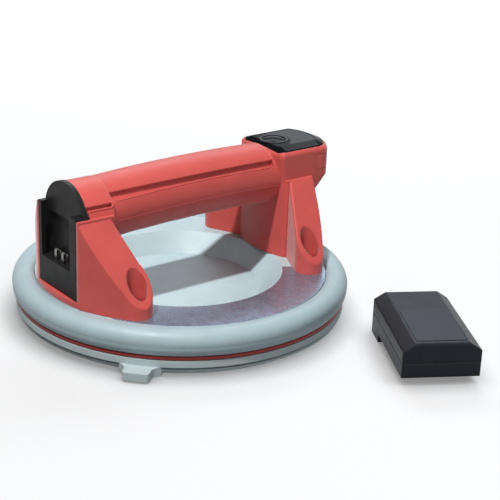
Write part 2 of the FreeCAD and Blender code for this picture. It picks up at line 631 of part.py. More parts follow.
def head_shoulder():
    """What is taken off the head's top edge towards the grip, ahead of the panel."""
    x1 = PANEL_X0 - SHOULDER_LAND
    run = x1 - HEAD_TOP_X0
    return polygon_face([
        V(x1, -FAR, HEAD_TOP_Z), V(x1, -FAR, HEAD_TOP_Z + run), V(HEAD_TOP_X0 - run, -FAR, HEAD_TOP_Z + run),
        V(HEAD_TOP_X0 - run, -FAR, HEAD_TOP_Z - 2 * run)]).extrude(V(0, 2 * FAR, 0))


def grip_stub():
    """The grip between its cover and the head, falling from the grip's top line to the head's rim."""
    x1 = LEG_CORNER_X + HEAD_NEAR_R
    rim_x = PANEL_X0 - SHOULDER_LAND
    high = GRIP_TOP_Z + GRIP_R
    over = polygon_face([
        V(GRIP_END_X, -FAR, GRIP_TOP_Z - grip_drop(GRIP_END_X)), V(rim_x, -FAR, HEAD_TOP_Z),
        V(rim_x + GRIP_R, -FAR, HEAD_TOP_Z), V(rim_x + GRIP_R, -FAR, high),
        V(GRIP_END_X, -FAR, high)]).extrude(V(0, 2 * FAR, 0))
    return grip_bar(0.0, GRIP_END_X, x1).cut(over)


def grip_bar(inset, x0, x1):
    """The arched grip's round bar, its surface moved inwards by inset."""
    middle = V(GRIP_TOP_X, 0, GRIP_TOP_Z - GRIP_R)
    centre = middle - V(0, 0, GRIP_ARCH_R)
    disc = Part.Face(Part.Wire([Part.makeCircle(GRIP_R - inset, middle, V(1, 0, 0))]))
    half_turn = 10.0
    disc.rotate(centre, V(0, 1, 0), -half_turn)
    bar = disc.revolve(centre, V(0, 1, 0), 2 * half_turn)
    return bar.common(box(x0, x1, -FAR, FAR, 0, FAR))


def grip_drop(x):
    """How far the arched grip's centre line lies below its highest point."""
    return GRIP_ARCH_R - math.sqrt(GRIP_ARCH_R ** 2 - (x - GRIP_TOP_X) ** 2)


def cuff_bar(inset, x0, x1):
    return rod_x(CUFF_R - inset, x0, x1, 0, CUFF_Z)


def handle_outer():
    left = column_plan(-1, LEDGE_Z, DOCK_FACE_X).extrude(V(0, 0, ARCH_EAR_Z - EAR_GAP - LEDGE_Z))
    left = upright_fillet(left, LEG_EDGE_R, -FOOT_IN_X, 0)
    right = column_plan(1, LEDGE_Z, LEG_OUT_X).extrude(V(0, 0, SLOPE_TOP_Z - LEDGE_Z))
    right = upright_fillet(right, LEG_EDGE_R, 0, FOOT_IN_X)
    bulge = rod(LEG_R, 0, 0, LEDGE_Z, SLOPE_TOP_Z)
    bulge = bulge.common(box(LEG_CORNER_X + 5, FAR, -LEG_HALF_W, LEG_HALF_W, LEDGE_Z, SLOPE_TOP_Z))
    flange = rod(SKIRT_R, 0, 0, LEDGE_Z, LEDGE_Z + LEG_FLANGE_T)
    flange = flange.common(box(-FAR, -LEG_CORNER_X - 5, -LEG_HALF_W, LEG_HALF_W, 0, FAR))
    feet = []
    for side in (-1, 1):
        near = foot(side)
        feet += [near, mirror_y(near)]
    grip = grip_bar(0.0, CUFF_END_X, GRIP_END_X)
    cuff = cuff_bar(0.0, CUFF_START_X, CUFF_END_X)
    return fuse(left, right, bulge, flange, head_block(), grip, grip_stub(), cuff, *feet)


def handle_hollow():
    """The space inside legs, grip and head."""
    w = WALL
    left = column_plan(-1, LEDGE_Z - 1, DOCK_BACK_X, w).extrude(V(0, 0, ARCH_EAR_Z - w - LEDGE_Z))
    right = column_plan(1, LEDGE_Z - 1, LEG_OUT_X - w, w).extrude(V(0, 0, SLOPE_TOP_Z - LEDGE_Z))
    top, flare, low = head_form(w)
    head = top.fuse(flare).fuse(low).common(
        box(0, FAR, -FAR, FAR, HEAD_BOTTOM_Z + w, PANEL_Z0 - SHELF_T))
    grip = rod_x(GRIP_BORE_R, CUFF_START_X - 1, LEG_CORNER_X, 0, PUMP_Z)
    cuff = cuff_bar(GROOVE_DEPTH + w, CUFF_START_X - 1, CUFF_END_X - w)
    return fuse(left, right, head, grip, cuff)


def handle_body():
    body = handle_outer()
    body = body.cut(handle_hollow())
    # the whole sector of the cover and of its groove is taken off down to the hidden lip
    for bar, z, x0, x1, groove in cover_zones():
        skin = bar(-1.0, x0, x1).cut(bar(GROOVE_DEPTH, x0, x1))
        body = body.cut(skin.common(wedge(z, x0, x1, groove[0])))
        body = body.cut(wedge(z, x0, x1, groove[1] + LIP_OVERLAP).common(bar(-1.0, x0, x1)))
    for number in range(WAVE_COUNT):
        x = WAVE_X0 + number * WAVE_PITCH
        z = GRIP_TOP_Z - grip_drop(x) - 2 * GRIP_R + WAVE_DEPTH - WAVE_R
        body = body.cut(rod_y(WAVE_R, -FAR, FAR, x, z))
    for x, y in FEET:
        body = body.cut(rod(COUNTERBORE_R, x, y, SCREW_SEAT_Z, SLOPE_TOP_Z + 1))
        body = body.cut(rod(SCREW_R + 0.2, x, y, LEDGE_Z - 1, SCREW_SEAT_Z + 1))
    body = body.cut(dock_pocket())
    body = body.cut(panel_seat())
    half = SHELF_OPEN_HALF_W
    body = body.cut(box(BOARD_X0 + 2, BOARD_X1, -half, half, BOARD_Z1, PANEL_Z0 + 1))
    body = body.cut(end_cover_solid())
    for x, y in board_posts():
        body = body.fuse(rod(POST_R, x, y, BOARD_Z1, PANEL_Z0 - SHELF_T + 0.5))
    for x, y in board_posts():
        body = body.cut(rod(BOARD_SCREW_R, x, y, BOARD_Z1 - 1, PANEL_Z0 - SHELF_T))
    return body.removeSplitter()


def board_posts():
    xs = (BOARD_X0 + POST_INSET, BOARD_X1 - POST_INSET)
    half = BOARD_HALF_W - POST_INSET
    return [(x, s * half) for x in xs for s in (-1, 1)]


def cover_zones():
    """Bar, wedge height, length and groove of the cover's two stretches."""
    return ((cuff_bar, CUFF_Z, CUFF_START_X, CUFF_END_X, CUFF_GROOVE),
            (grip_bar, GRIP_AXIS_Z, CUFF_END_X, GRIP_END_X, GRIP_GROOVE))


def grip_cover():
    shells = []
    for bar, z, x0, x1, groove in cover_zones():
        skin = bar(0.0, x0, x1).cut(bar(GROOVE_DEPTH, x0, x1))
        shells.append(skin.common(wedge(z, x0, x1, groove[1])))
    step_x = CUFF_END_X - STEP_T
    step = cuff_bar(0.0, step_x, CUFF_END_X).common(
        wedge(CUFF_Z, step_x, CUFF_END_X, CUFF_GROOVE[1] + LIP_OVERLAP + 2))
    inner = rod_x(GRIP_BORE_R + STEP_RIM, step_x, CUFF_END_X, 0, PUMP_Z)
    return fuse(shells[0], shells[1], step.cut(inner))


# ---- dock ---------------------------------------------------------------
def dock_pocket():
    return box(RAIL_FACE_X - 9, DOCK_BACK_X, -DOCK_HALF_W - 0.2, DOCK_HALF_W + 0.2, DOCK_Z0 - 0.2, FAR)


def arch_face(x, r):
    """The arch plate's outline: a round top, ears at its lower ends and the straight sides below."""
    z_axis = CUFF_Z
    drop = z_axis - ARCH_EAR_Z
    ear_y = r if drop >= 0 else math.sqrt(r ** 2 - drop ** 2)
    left = V(x, -ear_y, ARCH_EAR_Z)
    right = V(x, ear_y, ARCH_EAR_Z)
    return edges_face([arc(left, V(x, 0, z_axis + r), right), line(right, left)])


def battery_dock():
    w = DOCK_WALL
    shell = box(RAIL_FACE_X, DOCK_BACK_X, -DOCK_HALF_W, DOCK_HALF_W, DOCK_Z0, RAIL_TOP_Z)
    arch = arch_face(ARCH_X0, ARCH_R).extrude(V(CUFF_START_X - ARCH_X0, 0, 0))
    dock = fuse(shell, arch)
    floor_x = DOCK_BACK_X - w
    cavity = box(RAIL_FACE_X - 1, ARCH_X0, CAVITY_Y0, CAVITY_Y1, SILL_Z, FAR)
    deep = box(RAIL_FACE_X - 1, floor_x, CAVITY_Y0, CAVITY_Y1, SILL_Z, RAIL_TOP_Z - 6)
    step = box(ARCH_X0 - 2.0, floor_x, CAVITY_Y1 - 0.1, CAVITY_Y1 + 1.6, SILL_Z, RAIL_TOP_Z - 16)
    return dock.cut(fuse(cavity, deep, step)).cut(
        box(RAIL_FACE_X - 1, ARCH_X0, -FAR, FAR, RAIL_TOP_Z, FAR)).removeSplitter()


def dock_contacts():
    """Two bent blades: each stands in the cavity's floor as an upside-down U."""
    blades = []
    for y in BLADE_Y:
        x0 = DOCK_BACK_X - DOCK_WALL - 4.6
        x1 = DOCK_BACK_X - DOCK_WALL - 0.9
        r_out = (x1 - x0) / 2
        xm = (x0 + x1) / 2
        zc = BLADE_TOP_Z - r_out
        outer = fuse(rod_y(r_out, y - BLADE_W / 2, y + BLADE_W / 2, xm, zc),
                     box(x0, x1, y - BLADE_W / 2, y + BLADE_W / 2, SILL_Z, zc))
        inner = fuse(rod_y(r_out - BLADE_T, y - BLADE_W, y + BLADE_W, xm, zc),
                     box(x0 + BLADE_T, x1 - BLADE_T, y - BLADE_W, y + BLADE_W, SILL_Z - 1, zc))
        blades.append(outer.cut(inner))
    return Part.makeCompound(blades)


# ---- head ---------------------------------------------------------------
def panel_block(z0, z1, inset, near_inset):
    """The black panel's prism: straight sides, a bowed end and rounded corners."""
    half = HEAD_HALF_W - PANEL_MARGIN - inset
    side_x = HEAD_SIDE_X - PANEL_MARGIN
    near_x = PANEL_X0 + near_inset
    a = V(near_x, -half, z0)
    b = V(side_x, -half, z0)
    c = V(HEAD_X1 - PANEL_MARGIN - inset, 0, z0)
    d = V(side_x, half, z0)
    e = V(near_x, half, z0)
    block = edges_face([line(a, b), arc(b, c, d), line(d, e), line(e, a)]).extrude(V(0, 0, z1 - z0))
    block = upright_fillet(block, max(PANEL_NEAR_R - inset, PANEL_TOP_R), 0, BUTTON_X)
    return upright_fillet(block, max(PANEL_CORNER_R - inset, PANEL_TOP_R), BUTTON_X, FAR)


def panel_seat():
    return panel_block(PANEL_Z0, FAR, -SEAT_GAP, -SEAT_GAP)


def window_block(gap):
    """The display window's prism, reaching up past the panel: its near edge runs around the button."""
    inset = PANEL_BEVEL_W + WINDOW_MARGIN + gap
    block = panel_block(PANEL_Z1 - WINDOW_T, PANEL_Z1 + 1, inset, PANEL_BEVEL_BACK)
    block = block.common(box(WINDOW_X0 + gap, FAR, -FAR, FAR, 0, FAR))
    return block.cut(rod(WINDOW_ARC_R + gap, BUTTON_X, 0, 0, FAR))


def top_wire(block):
    return max(block.Faces, key=lambda face: face.CenterOfMass.z).OuterWire


def control_panel():
    edge_z = HEAD_TOP_Z + PANEL_EDGE_T
    low = panel_block(PANEL_Z0, edge_z, 0.0, 0.0)
    high = panel_block(edge_z, PANEL_Z1, PANEL_BEVEL_W, PANEL_BEVEL_BACK)
    bevel = Part.makeLoft([top_wire(low), top_wire(high)], True, True)
    body = low.fuse(bevel)
    body = body.cut(rod(BUTTON_R + BUTTON_GAP, BUTTON_X, 0, PANEL_Z1 - BUTTON_SINK - BUTTON_TRAVEL, FAR))
    body = body.cut(rod(STEM_R + BUTTON_GAP, BUTTON_X, 0, PANEL_Z0 - 1, FAR))
    return body.cut(window_block(0.0))


def power_button():
    z0 = PANEL_Z1 - BUTTON_SINK
    cap = rod(BUTTON_R, BUTTON_X, 0, z0, PANEL_Z1 + BUTTON_RISE)
    sphere_r = (BUTTON_R ** 2 + BUTTON_RISE ** 2) / (2 * BUTTON_RISE)
    dome = Part.makeSphere(sphere_r, V(BUTTON_X, 0, PANEL_Z1 + BUTTON_RISE - sphere_r))
    cap = cap.common(dome)
    return fuse(cap, rod(STEM_R, BUTTON_X, 0, PANEL_Z0 - STEM_BELOW, z0 + 1))


def display_window():
    return window_block(SEAT_GAP).common(box(0, FAR, -FAR, FAR, 0, PANEL_Z1 - SEAT_GAP))


def end_cover_solid(gap=0.0):
    faces = (HEAD_TOP_X0, HEAD_TOP_CORNER_X)
    outer = head_slab(END_COVER_Z0 + gap, END_COVER_H - 2 * gap, faces)
    inner = head_slab(END_COVER_Z0 - 1, END_COVER_H + 2, faces, END_COVER_T - gap)
    return outer.cut(inner).common(box(END_COVER_X0 + gap, FAR, -FAR, FAR, 0, FAR))


def head_end_cover():
    return end_cover_solid(0.15)


def handle_screws():
    screws = []
    for x, y in FEET:
        head = rod(SCREW_HEAD_R, x, y, SCREW_SEAT_Z, SCREW_SEAT_Z + SCREW_HEAD_T)
        recess = rod(SCREW_HEAD_R * 0.45, x, y, SCREW_SEAT_Z + SCREW_HEAD_T * 0.4, SCREW_SEAT_Z + 9)
        shank = rod(SCREW_R, x, y, screw_tip_z(), SCREW_SEAT_Z)
        screws.append(fuse(head.cut(recess), shank))
    return Part.makeCompound(screws)

# ---- pump, hose and electrics -------------------------------------------
def motor_can():
    can = rod_x(MOTOR_R, MOTOR_X0, MOTOR_X1, 0, PUMP_Z)
    can = can.cut(rod_x(MOTOR_R - MOTOR_WALL, MOTOR_X0 + MOTOR_WALL, MOTOR_X1 - MOTOR_WALL, 0, PUMP_Z))
    rear = rod_x(SHAFT_R + BEARING_WALL, MOTOR_X0, MOTOR_X0 + MOTOR_WALL + BEARING_L, 0, PUMP_Z)
    front = rod_x(SHAFT_R + BEARING_WALL, MOTOR_X1 - MOTOR_WALL - BEARING_L, MOTOR_X1, 0, PUMP_Z)
    can = fuse(can, rear, front)
    return can.cut(rod_x(SHAFT_R + SHAFT_GAP, MOTOR_X0 + MOTOR_WALL, MOTOR_X1 + 1, 0, PUMP_Z))


def motor_magnets():
    """Two magnet shells glued to the inside of the can."""
    r = MOTOR_R - MOTOR_WALL
    x0 = MOTOR_X0 + MOTOR_WALL + MAGNET_INSET
    x1 = MOTOR_X1 - MOTOR_WALL - MAGNET_INSET
    tube = rod_x(r, x0, x1, 0, PUMP_Z).cut(rod_x(r - MAGNET_T, x0, x1, 0, PUMP_Z))
    above = tube.common(wedge(PUMP_Z, x0, x1, MAGNET_START))
    return Part.makeCompound([above, above.mirror(V(0, 0, PUMP_Z), UP)])


def motor_rotor():
    """Wound rotor on its shaft, with the eccentric that drives the pump's diaphragm."""
    shaft = rod_x(SHAFT_R, MOTOR_X0 + MOTOR_WALL + SHAFT_PLAY, CRANK_X1 - SHAFT_INSET, 0, PUMP_Z)
    x0 = MOTOR_X0 + CORE_INSET
    x1 = MOTOR_X1 - CORE_INSET
    core = rod_x(ROTOR_R, x0, x1, 0, PUMP_Z)
    half = ROTOR_SLOT_W / 2
    floor_z = PUMP_Z + ROTOR_R * ROTOR_SLOT_FLOOR
    for number in range(ROTOR_SLOTS):
        slot = box(x0 - 1, x1 + 1, -half, half, floor_z, PUMP_Z + ROTOR_R + 1)
        slot.rotate(V(0, 0, PUMP_Z), V(1, 0, 0), number * 360 / ROTOR_SLOTS)
        core = core.cut(slot)
    commutator = rod_x(COMMUTATOR_R, x0 - COMMUTATOR_L, x0, 0, PUMP_Z)
    start = MOTOR_X1 + ECCENTRIC_START
    eccentric = rod_x(ECCENTRIC_R, start, start + ECCENTRIC_L, 0, PUMP_Z - ECCENTRIC_OFF)
    return fuse(shaft, core, commutator, eccentric)


def pump_housing():
    body = rod_x(PUMP_R, MOTOR_X1, CRANK_X1, 0, PUMP_Z)
    return body.cut(rod_x(CRANK_R, MOTOR_X1 - 1, CRANK_X1 + 1, 0, PUMP_Z))


def pump_diaphragm():
    disc = rod_x(PUMP_R, CRANK_X1, CRANK_X1 + DIAPHRAGM_T, 0, PUMP_Z)
    bead = Part.makeTorus(CRANK_R - 2.4, 0.8, V(CRANK_X1 + DIAPHRAGM_T, 0, PUMP_Z), V(1, 0, 0))
    return disc.cut(bead)


def pump_valve_head():
    x0 = CRANK_X1 + DIAPHRAGM_T
    body = rod_x(PUMP_R, x0, VALVE_END_X, 0, PUMP_Z)
    chamber = rod_x(CRANK_R, x0 - 1, x0 + VALVE_CHAMBER_L, 0, PUMP_Z)
    nipples = []
    bores = []
    for drop in (-NIPPLE_DROP, NIPPLE_DROP):
        nipples.append(rod_x(NIPPLE_R, VALVE_END_X - 1, VALVE_END_X + NIPPLE_L, 0, PUMP_Z + drop))
        bores.append(rod_x(NIPPLE_BORE_R, x0 + 1, VALVE_END_X + NIPPLE_L + 1, 0, PUMP_Z + drop))
    return fuse(body, *nipples).cut(fuse(chamber, *bores))


def pump_cushions():
    """Rubber rings that hold motor and pump in the grip's bore."""
    outer = GRIP_BORE_R - CUSHION_GAP
    rings = []
    back = CUSHION_L + CUSHION_INSET
    places = ((MOTOR_X0 + CUSHION_INSET, MOTOR_R), (MOTOR_X1 - back, MOTOR_R), (VALVE_END_X - back, PUMP_R))
    for x, r in places:
        ring_x = rod_x(outer, x, x + CUSHION_L, 0, PUMP_Z)
        rings.append(ring_x.cut(rod_x(r, x - 1, x + CUSHION_L + 1, 0, PUMP_Z)))
    return Part.makeCompound(rings)


def check_valve():
    z = PUMP_Z - NIPPLE_DROP
    body = rod_x(CHECK_R, VALVE_X0, VALVE_X0 + CHECK_L, 0, z)
    ends = rod_x(NIPPLE_R, VALVE_X0 - NIPPLE_L, VALVE_X0 + CHECK_L + NIPPLE_L, 0, z)
    ridge = rod_x(CHECK_R + 0.7, VALVE_X0 + CHECK_L * 0.4, VALVE_X0 + CHECK_L * 0.6, 0, z)
    bore = rod_x(NIPPLE_BORE_R, VALVE_X0 - NIPPLE_L - 1, VALVE_X0 + CHECK_L + NIPPLE_L + 1, 0, z)
    return fuse(body, ends, ridge).cut(bore)


def vacuum_hoses():
    """A short hose from pump to check valve, and the long one down the right leg to the port."""
    z = PUMP_Z - NIPPLE_DROP
    inner = NIPPLE_R + HOSE_GAP
    x0 = VALVE_END_X + HOSE_STOP
    x1 = VALVE_X0 - HOSE_STOP
    short = rod_x(HOSE_R, x0, x1, 0, z).cut(rod_x(inner, x0 - 1, x1 + 1, 0, z))
    fitting_top = LEDGE_Z + FITTING_T
    route = [V(VALVE_X0 + CHECK_L + HOSE_STOP, 0, z), V(PORT_X, 0, z), V(PORT_X, 0, fitting_top + HOSE_STOP)]
    bore = [route[0] - V(1, 0, 0), route[1], route[2] - V(0, 0, 1)]
    back = 0.45 * (route[1] - route[0]).Length
    long = hose_bend(route, back, HOSE_R).cut(hose_bend(bore, back, inner))
    return Part.makeCompound([short, long])


def hose_bend(route, back, r):
    """One right-angle bend in the XZ plane, with the tangent length back."""
    a, corner, b = route
    p = V(corner.x - back, 0, corner.z)
    q = V(corner.x, 0, corner.z - back)
    shift = back * (1 - math.sqrt(0.5))
    middle = V(corner.x - shift, 0, corner.z - shift)
    profile = Part.Wire([Part.makeCircle(r, a, V(1, 0, 0))])
    return Part.Wire([line(a, p), arc(p, middle, q), line(q, b)]).makePipeShell([profile], True, False)


def port_fitting():
    z1 = LEDGE_Z + FITTING_T
    body = fuse(rod(FITTING_R, *PORT_XY, LEDGE_Z, z1), rod(NIPPLE_R, *PORT_XY, z1 - 1, z1 + NIPPLE_L + 1))
    return body.cut(rod(NIPPLE_BORE_R, *PORT_XY, LEDGE_Z - 1, z1 + NIPPLE_L + 2))


def control_board():
    board = box(BOARD_X0, BOARD_X1, -BOARD_HALF_W, BOARD_HALF_W, BOARD_Z0, BOARD_Z1)
    for x, y in board_posts():
        board = board.cut(rod(BOARD_SCREW_R + 0.1, x, y, BOARD_Z0 - 1, BOARD_Z1 + 1))
    x0 = BOARD_X0 + CHIP_START
    half = CHIP_SIDE / 2
    chip = box(x0, x0 + CHIP_SIDE, -half, half, BOARD_Z0 - CHIP_H, BOARD_Z0)
    coil = rod(COIL_R, BOARD_X0 + COIL_START, COIL_Y, BOARD_Z0 - COIL_H, BOARD_Z0)
    return fuse(board, chip, coil)


def board_screws():
    screws = []
    for x, y in board_posts():
        shank = rod(BOARD_SCREW_R, x, y, BOARD_Z0, PANEL_Z0 - SHELF_T - 0.5)
        head = rod(BOARD_SCREW_HEAD_R, x, y, BOARD_Z0 - BOARD_SCREW_HEAD_T, BOARD_Z0)
        screws.append(fuse(head, shank))
    return Part.makeCompound(screws)


def switch_body():
    half = SWITCH_SIDE / 2
    body = box(BUTTON_X - half, BUTTON_X + half, -half, half, BOARD_Z1, BOARD_Z1 + SWITCH_H)
    return body.cut(rod(PLUNGER_R + PLUNGER_GAP, BUTTON_X, 0, BOARD_Z1 + 0.4, BOARD_Z1 + SWITCH_H + 1))


def switch_plunger():
    top = PANEL_Z0 - STEM_BELOW
    return rod(PLUNGER_R, BUTTON_X, 0, top - PLUNGER_L, top)


def display_module():
    return box(DISPLAY_X0, DISPLAY_X1, -DISPLAY_HALF_W, DISPLAY_HALF_W, BOARD_Z1, PANEL_Z0)


def power_leads():
    """Two leads from the dock's contacts over the motor to the control board."""
    leads = []
    start_z = SILL_Z + LEAD_START_H
    rise_x = CUFF_END_X - WALL - LEAD_RISE_BACK
    under_z = BOARD_Z0 - LEAD_UNDER
    end_x = BOARD_X0 + LEAD_END
    for y in (-LEAD_Y, LEAD_Y):
        points = [V(DOCK_BACK_X, y, start_z), V(rise_x, y, start_z), V(rise_x, y, LEAD_TOP_Z - LEAD_SWEEP),
                  V(rise_x + LEAD_SWEEP, y, LEAD_TOP_Z), V(LEG_IN_X - LEAD_FALL, y, LEAD_TOP_Z),
                  V(LEG_IN_X - LEAD_NEAR, y, under_z), V(end_x, y, under_z), V(end_x, y, BOARD_Z0)]
        leads.append(tube_path(points, LEAD_R))
    return Part.makeCompound(leads)


# ---- battery pack -------------------------------------------------------
def pack_section(shrink):
    """The case's cross-section over its underside, with the chamfered upper long edges."""
    z0 = PACK_RAISE + shrink
    z1 = PACK_RAISE + PACK_H - shrink
    u0 = shrink
    u1 = PACK_W - shrink
    cu = PACK_CHAMFER_W
    cz = PACK_CHAMFER_H
    return polygon_face([V(u, shrink, z) for u, z in (
        (u0, z0), (u1, z0), (u1, z1 - cz), (u1 - cu, z1), (u0 + cu, z1), (u0, z1 - cz))])


def placed(shape):
    """Puts a piece of the pack, drawn with its near left corner at the origin, on the floor plan."""
    shape.rotate(V(0, 0, 0), UP, PACK_YAW)
    shape.translate(V(PACK_CORNER[0], PACK_CORNER[1], 0))
    return shape


def pack_outer():
    case = pack_section(0).extrude(V(0, PACK_L, 0))
    block_u0 = (PACK_W - BLOCK_W) / 2
    block = box(block_u0, block_u0 + BLOCK_W, BLOCK_START, HEEL_START, 0, PACK_RAISE)
    heel = box(0, PACK_W, HEEL_START, PACK_L, 0, PACK_RAISE)
    return case, fuse(block, heel)


def pack_hollow():
    return pack_section(CASE_WALL).extrude(V(0, PACK_L - 2 * CASE_WALL, 0))


def battery_lid():
    case, _ = pack_outer()
    split = PACK_RAISE + CASE_SPLIT
    lid = case.cut(pack_hollow()).common(box(-FAR, FAR, -FAR, FAR, split, FAR))
    top = [e for e in lid.Edges if abs(e.BoundBox.ZMin - PACK_RAISE - PACK_H) < 0.01
           and e.BoundBox.XLength > PACK_W / 2]
    return placed(lid.makeFillet(PACK_EDGE_R, top))


def battery_base():
    case, below = pack_outer()
    split = PACK_RAISE + CASE_SPLIT
    base = case.cut(pack_hollow()).common(box(-FAR, FAR, -FAR, FAR, -FAR, split))
    base = fuse(base, below)
    for u in slot_places():
        base = base.cut(box(u - SLOT_W / 2, u + SLOT_W / 2, BLOCK_START - 1, BLOCK_START + SLOT_L,
                            0.8, PACK_RAISE - 0.6))
    return placed(base)


def slot_places():
    middle = PACK_W / 2
    gap = abs(BLADE_Y[0] - BLADE_Y[1])
    return middle - gap / 2, middle + gap / 2


def battery_terminals():
    """A sprung strip on each side of a contact slot's far end."""
    strips = []
    for u in slot_places():
        strips.append(placed(box(u - SLOT_W / 2, u - SLOT_W / 2 + TERMINAL_T, BLOCK_START + 1.5,
                                 BLOCK_START + SLOT_L, 0.8, PACK_RAISE - 0.6)))
    return Part.makeCompound(strips)


def battery_cells():
    cells = []
    z = PACK_RAISE + CASE_WALL + CELL_R + CELL_GAP / 3
    v0 = (PACK_L - CELL_L) / 2
    for side in (-1, 1):
        u = PACK_W / 2 + side * (CELL_R + CELL_GAP)
        cell = Part.makeCylinder(CELL_R, CELL_L, V(u, v0, z), V(0, 1, 0))
        cells.append(placed(cell))
    return Part.makeCompound(cells)


def battery_board():
    v1 = PACK_L - CASE_WALL
    half = PACK_BOARD_W / 2
    board = box(PACK_W / 2 - half, PACK_W / 2 + half, v1 - BOARD_T, v1,
                PACK_RAISE + CASE_WALL, PACK_RAISE + PACK_H - CASE_WALL)
    return placed(board)


def battery_label():
    z = PACK_RAISE + PACK_H
    u0 = PACK_CHAMFER_W + PACK_LABEL_MARGIN * 0.3
    label = box(u0, PACK_W - u0, PACK_LABEL_MARGIN, PACK_L * 0.62, z, z + PACK_LABEL_T)
    return placed(label)


NODES = {
    "suction_pad": suction_pad,
    "wear_ring": wear_ring,
    "rim_ring": rim_ring,
    "base_plate": base_plate,
    "port_filter": port_filter,
    "rating_label": rating_label,
    "handle_body": handle_body,
    "grip_cover": grip_cover,
    "battery_dock": battery_dock,
    "dock_contacts": dock_contacts,
    "control_panel": control_panel,
    "power_button": power_button,
    "display_window": display_window,
    "head_end_cover": head_end_cover,
    "handle_screws": handle_screws,
    "motor_can": motor_can,
    "motor_magnets": motor_magnets,
    "motor_rotor": motor_rotor,
    "pump_housing": pump_housing,
    "pump_diaphragm": pump_diaphragm,
    "pump_valve_head": pump_valve_head,
    "pump_cushions": pump_cushions,
    "check_valve": check_valve,
    "vacuum_hoses": vacuum_hoses,
    "port_fitting": port_fitting,
    "control_board": control_board,
    "board_screws": board_screws,
    "switch_body": switch_body,
    "switch_plunger": switch_plunger,
    "display_module": display_module,
    "power_leads": power_leads,
    "battery_lid": battery_lid,
    "battery_base": battery_base,
    "battery_terminals": battery_terminals,
    "battery_cells": battery_cells,
    "battery_board": battery_board,
    "battery_label": battery_label,
}

os.makedirs("parts", exist_ok=True)
for name, make in NODES.items():
    shape = make()
    if not shape.isValid():
        print("invalid", name)
    solids = len(shape.Solids)
    print(name, "solids", solids, "volume", round(shape.Volume))
    shape.exportStep("parts/" + name + ".step")
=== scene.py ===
import json
import logging
import math
from dataclasses import dataclass, replace
from enum import Enum

import bmesh
import bpy
from mathutils import Matrix, Vector

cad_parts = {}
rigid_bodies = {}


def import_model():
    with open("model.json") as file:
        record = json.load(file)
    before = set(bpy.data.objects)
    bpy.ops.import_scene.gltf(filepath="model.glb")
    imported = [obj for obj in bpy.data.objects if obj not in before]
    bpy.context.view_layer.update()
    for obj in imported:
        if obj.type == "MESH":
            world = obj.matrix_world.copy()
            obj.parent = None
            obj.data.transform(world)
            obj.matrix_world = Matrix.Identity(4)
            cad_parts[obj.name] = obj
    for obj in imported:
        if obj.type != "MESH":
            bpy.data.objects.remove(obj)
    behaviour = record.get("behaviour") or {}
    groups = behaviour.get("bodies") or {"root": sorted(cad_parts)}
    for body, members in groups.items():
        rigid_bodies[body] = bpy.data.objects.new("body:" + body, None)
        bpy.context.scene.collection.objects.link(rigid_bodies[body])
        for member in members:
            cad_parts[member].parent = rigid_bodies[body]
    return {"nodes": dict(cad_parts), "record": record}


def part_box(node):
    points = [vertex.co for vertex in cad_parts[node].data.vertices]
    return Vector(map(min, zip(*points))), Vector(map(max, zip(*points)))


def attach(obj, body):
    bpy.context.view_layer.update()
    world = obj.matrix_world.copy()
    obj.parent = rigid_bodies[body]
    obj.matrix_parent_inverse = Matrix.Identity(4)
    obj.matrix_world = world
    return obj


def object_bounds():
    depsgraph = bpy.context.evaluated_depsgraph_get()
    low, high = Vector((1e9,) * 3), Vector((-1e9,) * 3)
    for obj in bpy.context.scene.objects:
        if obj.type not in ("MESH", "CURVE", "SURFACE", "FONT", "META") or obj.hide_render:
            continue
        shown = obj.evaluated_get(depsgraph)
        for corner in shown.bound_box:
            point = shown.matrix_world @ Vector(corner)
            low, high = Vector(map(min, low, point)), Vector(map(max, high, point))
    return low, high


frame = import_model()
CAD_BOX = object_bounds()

LOG = logging.getLogger("tile_lifter")
MM = 0.001
LIFTER = "lifter"

Colour = tuple[float, float, float]
Triple = tuple[float, float, float]
Station = tuple[Vector, Vector]


class Side(Enum):
    """The two sides of the handle, as signs along Y."""

    NEAR = -1
    FAR = 1


class Axis(Enum):
    """The directions that a round cutter can take, as its turn about X."""

    ALONG_Y = math.pi / 2
    UPRIGHT = 0.0


class Cut(Enum):
    """What a cutter leaves of a block."""

    INSIDE = "INTERSECT"
    OUTSIDE = "DIFFERENCE"


def linear(red: int, green: int, blue: int) -> Colour:
    """Turns a display colour into the linear colour that shaders take.

    Args:
        red: Red, 0 to 255.
        green: Green, 0 to 255.
        blue: Blue, 0 to 255.

    Returns:
        The same colour with linear components from 0 to 1.
    """
    def one(value: int) -> float:
        """Gives one linear component."""
        share = value / 255
        return share / 12.92 if share <= 0.04045 else ((share + 0.055) / 1.055) ** 2.4

    return one(red), one(green), one(blue)


def spaced(first: float, last: float, steps: int) -> list[float]:
    """Gives the values that divide a range into equal steps, ends included."""
    return [first + (last - first) * number / steps for number in range(steps + 1)]


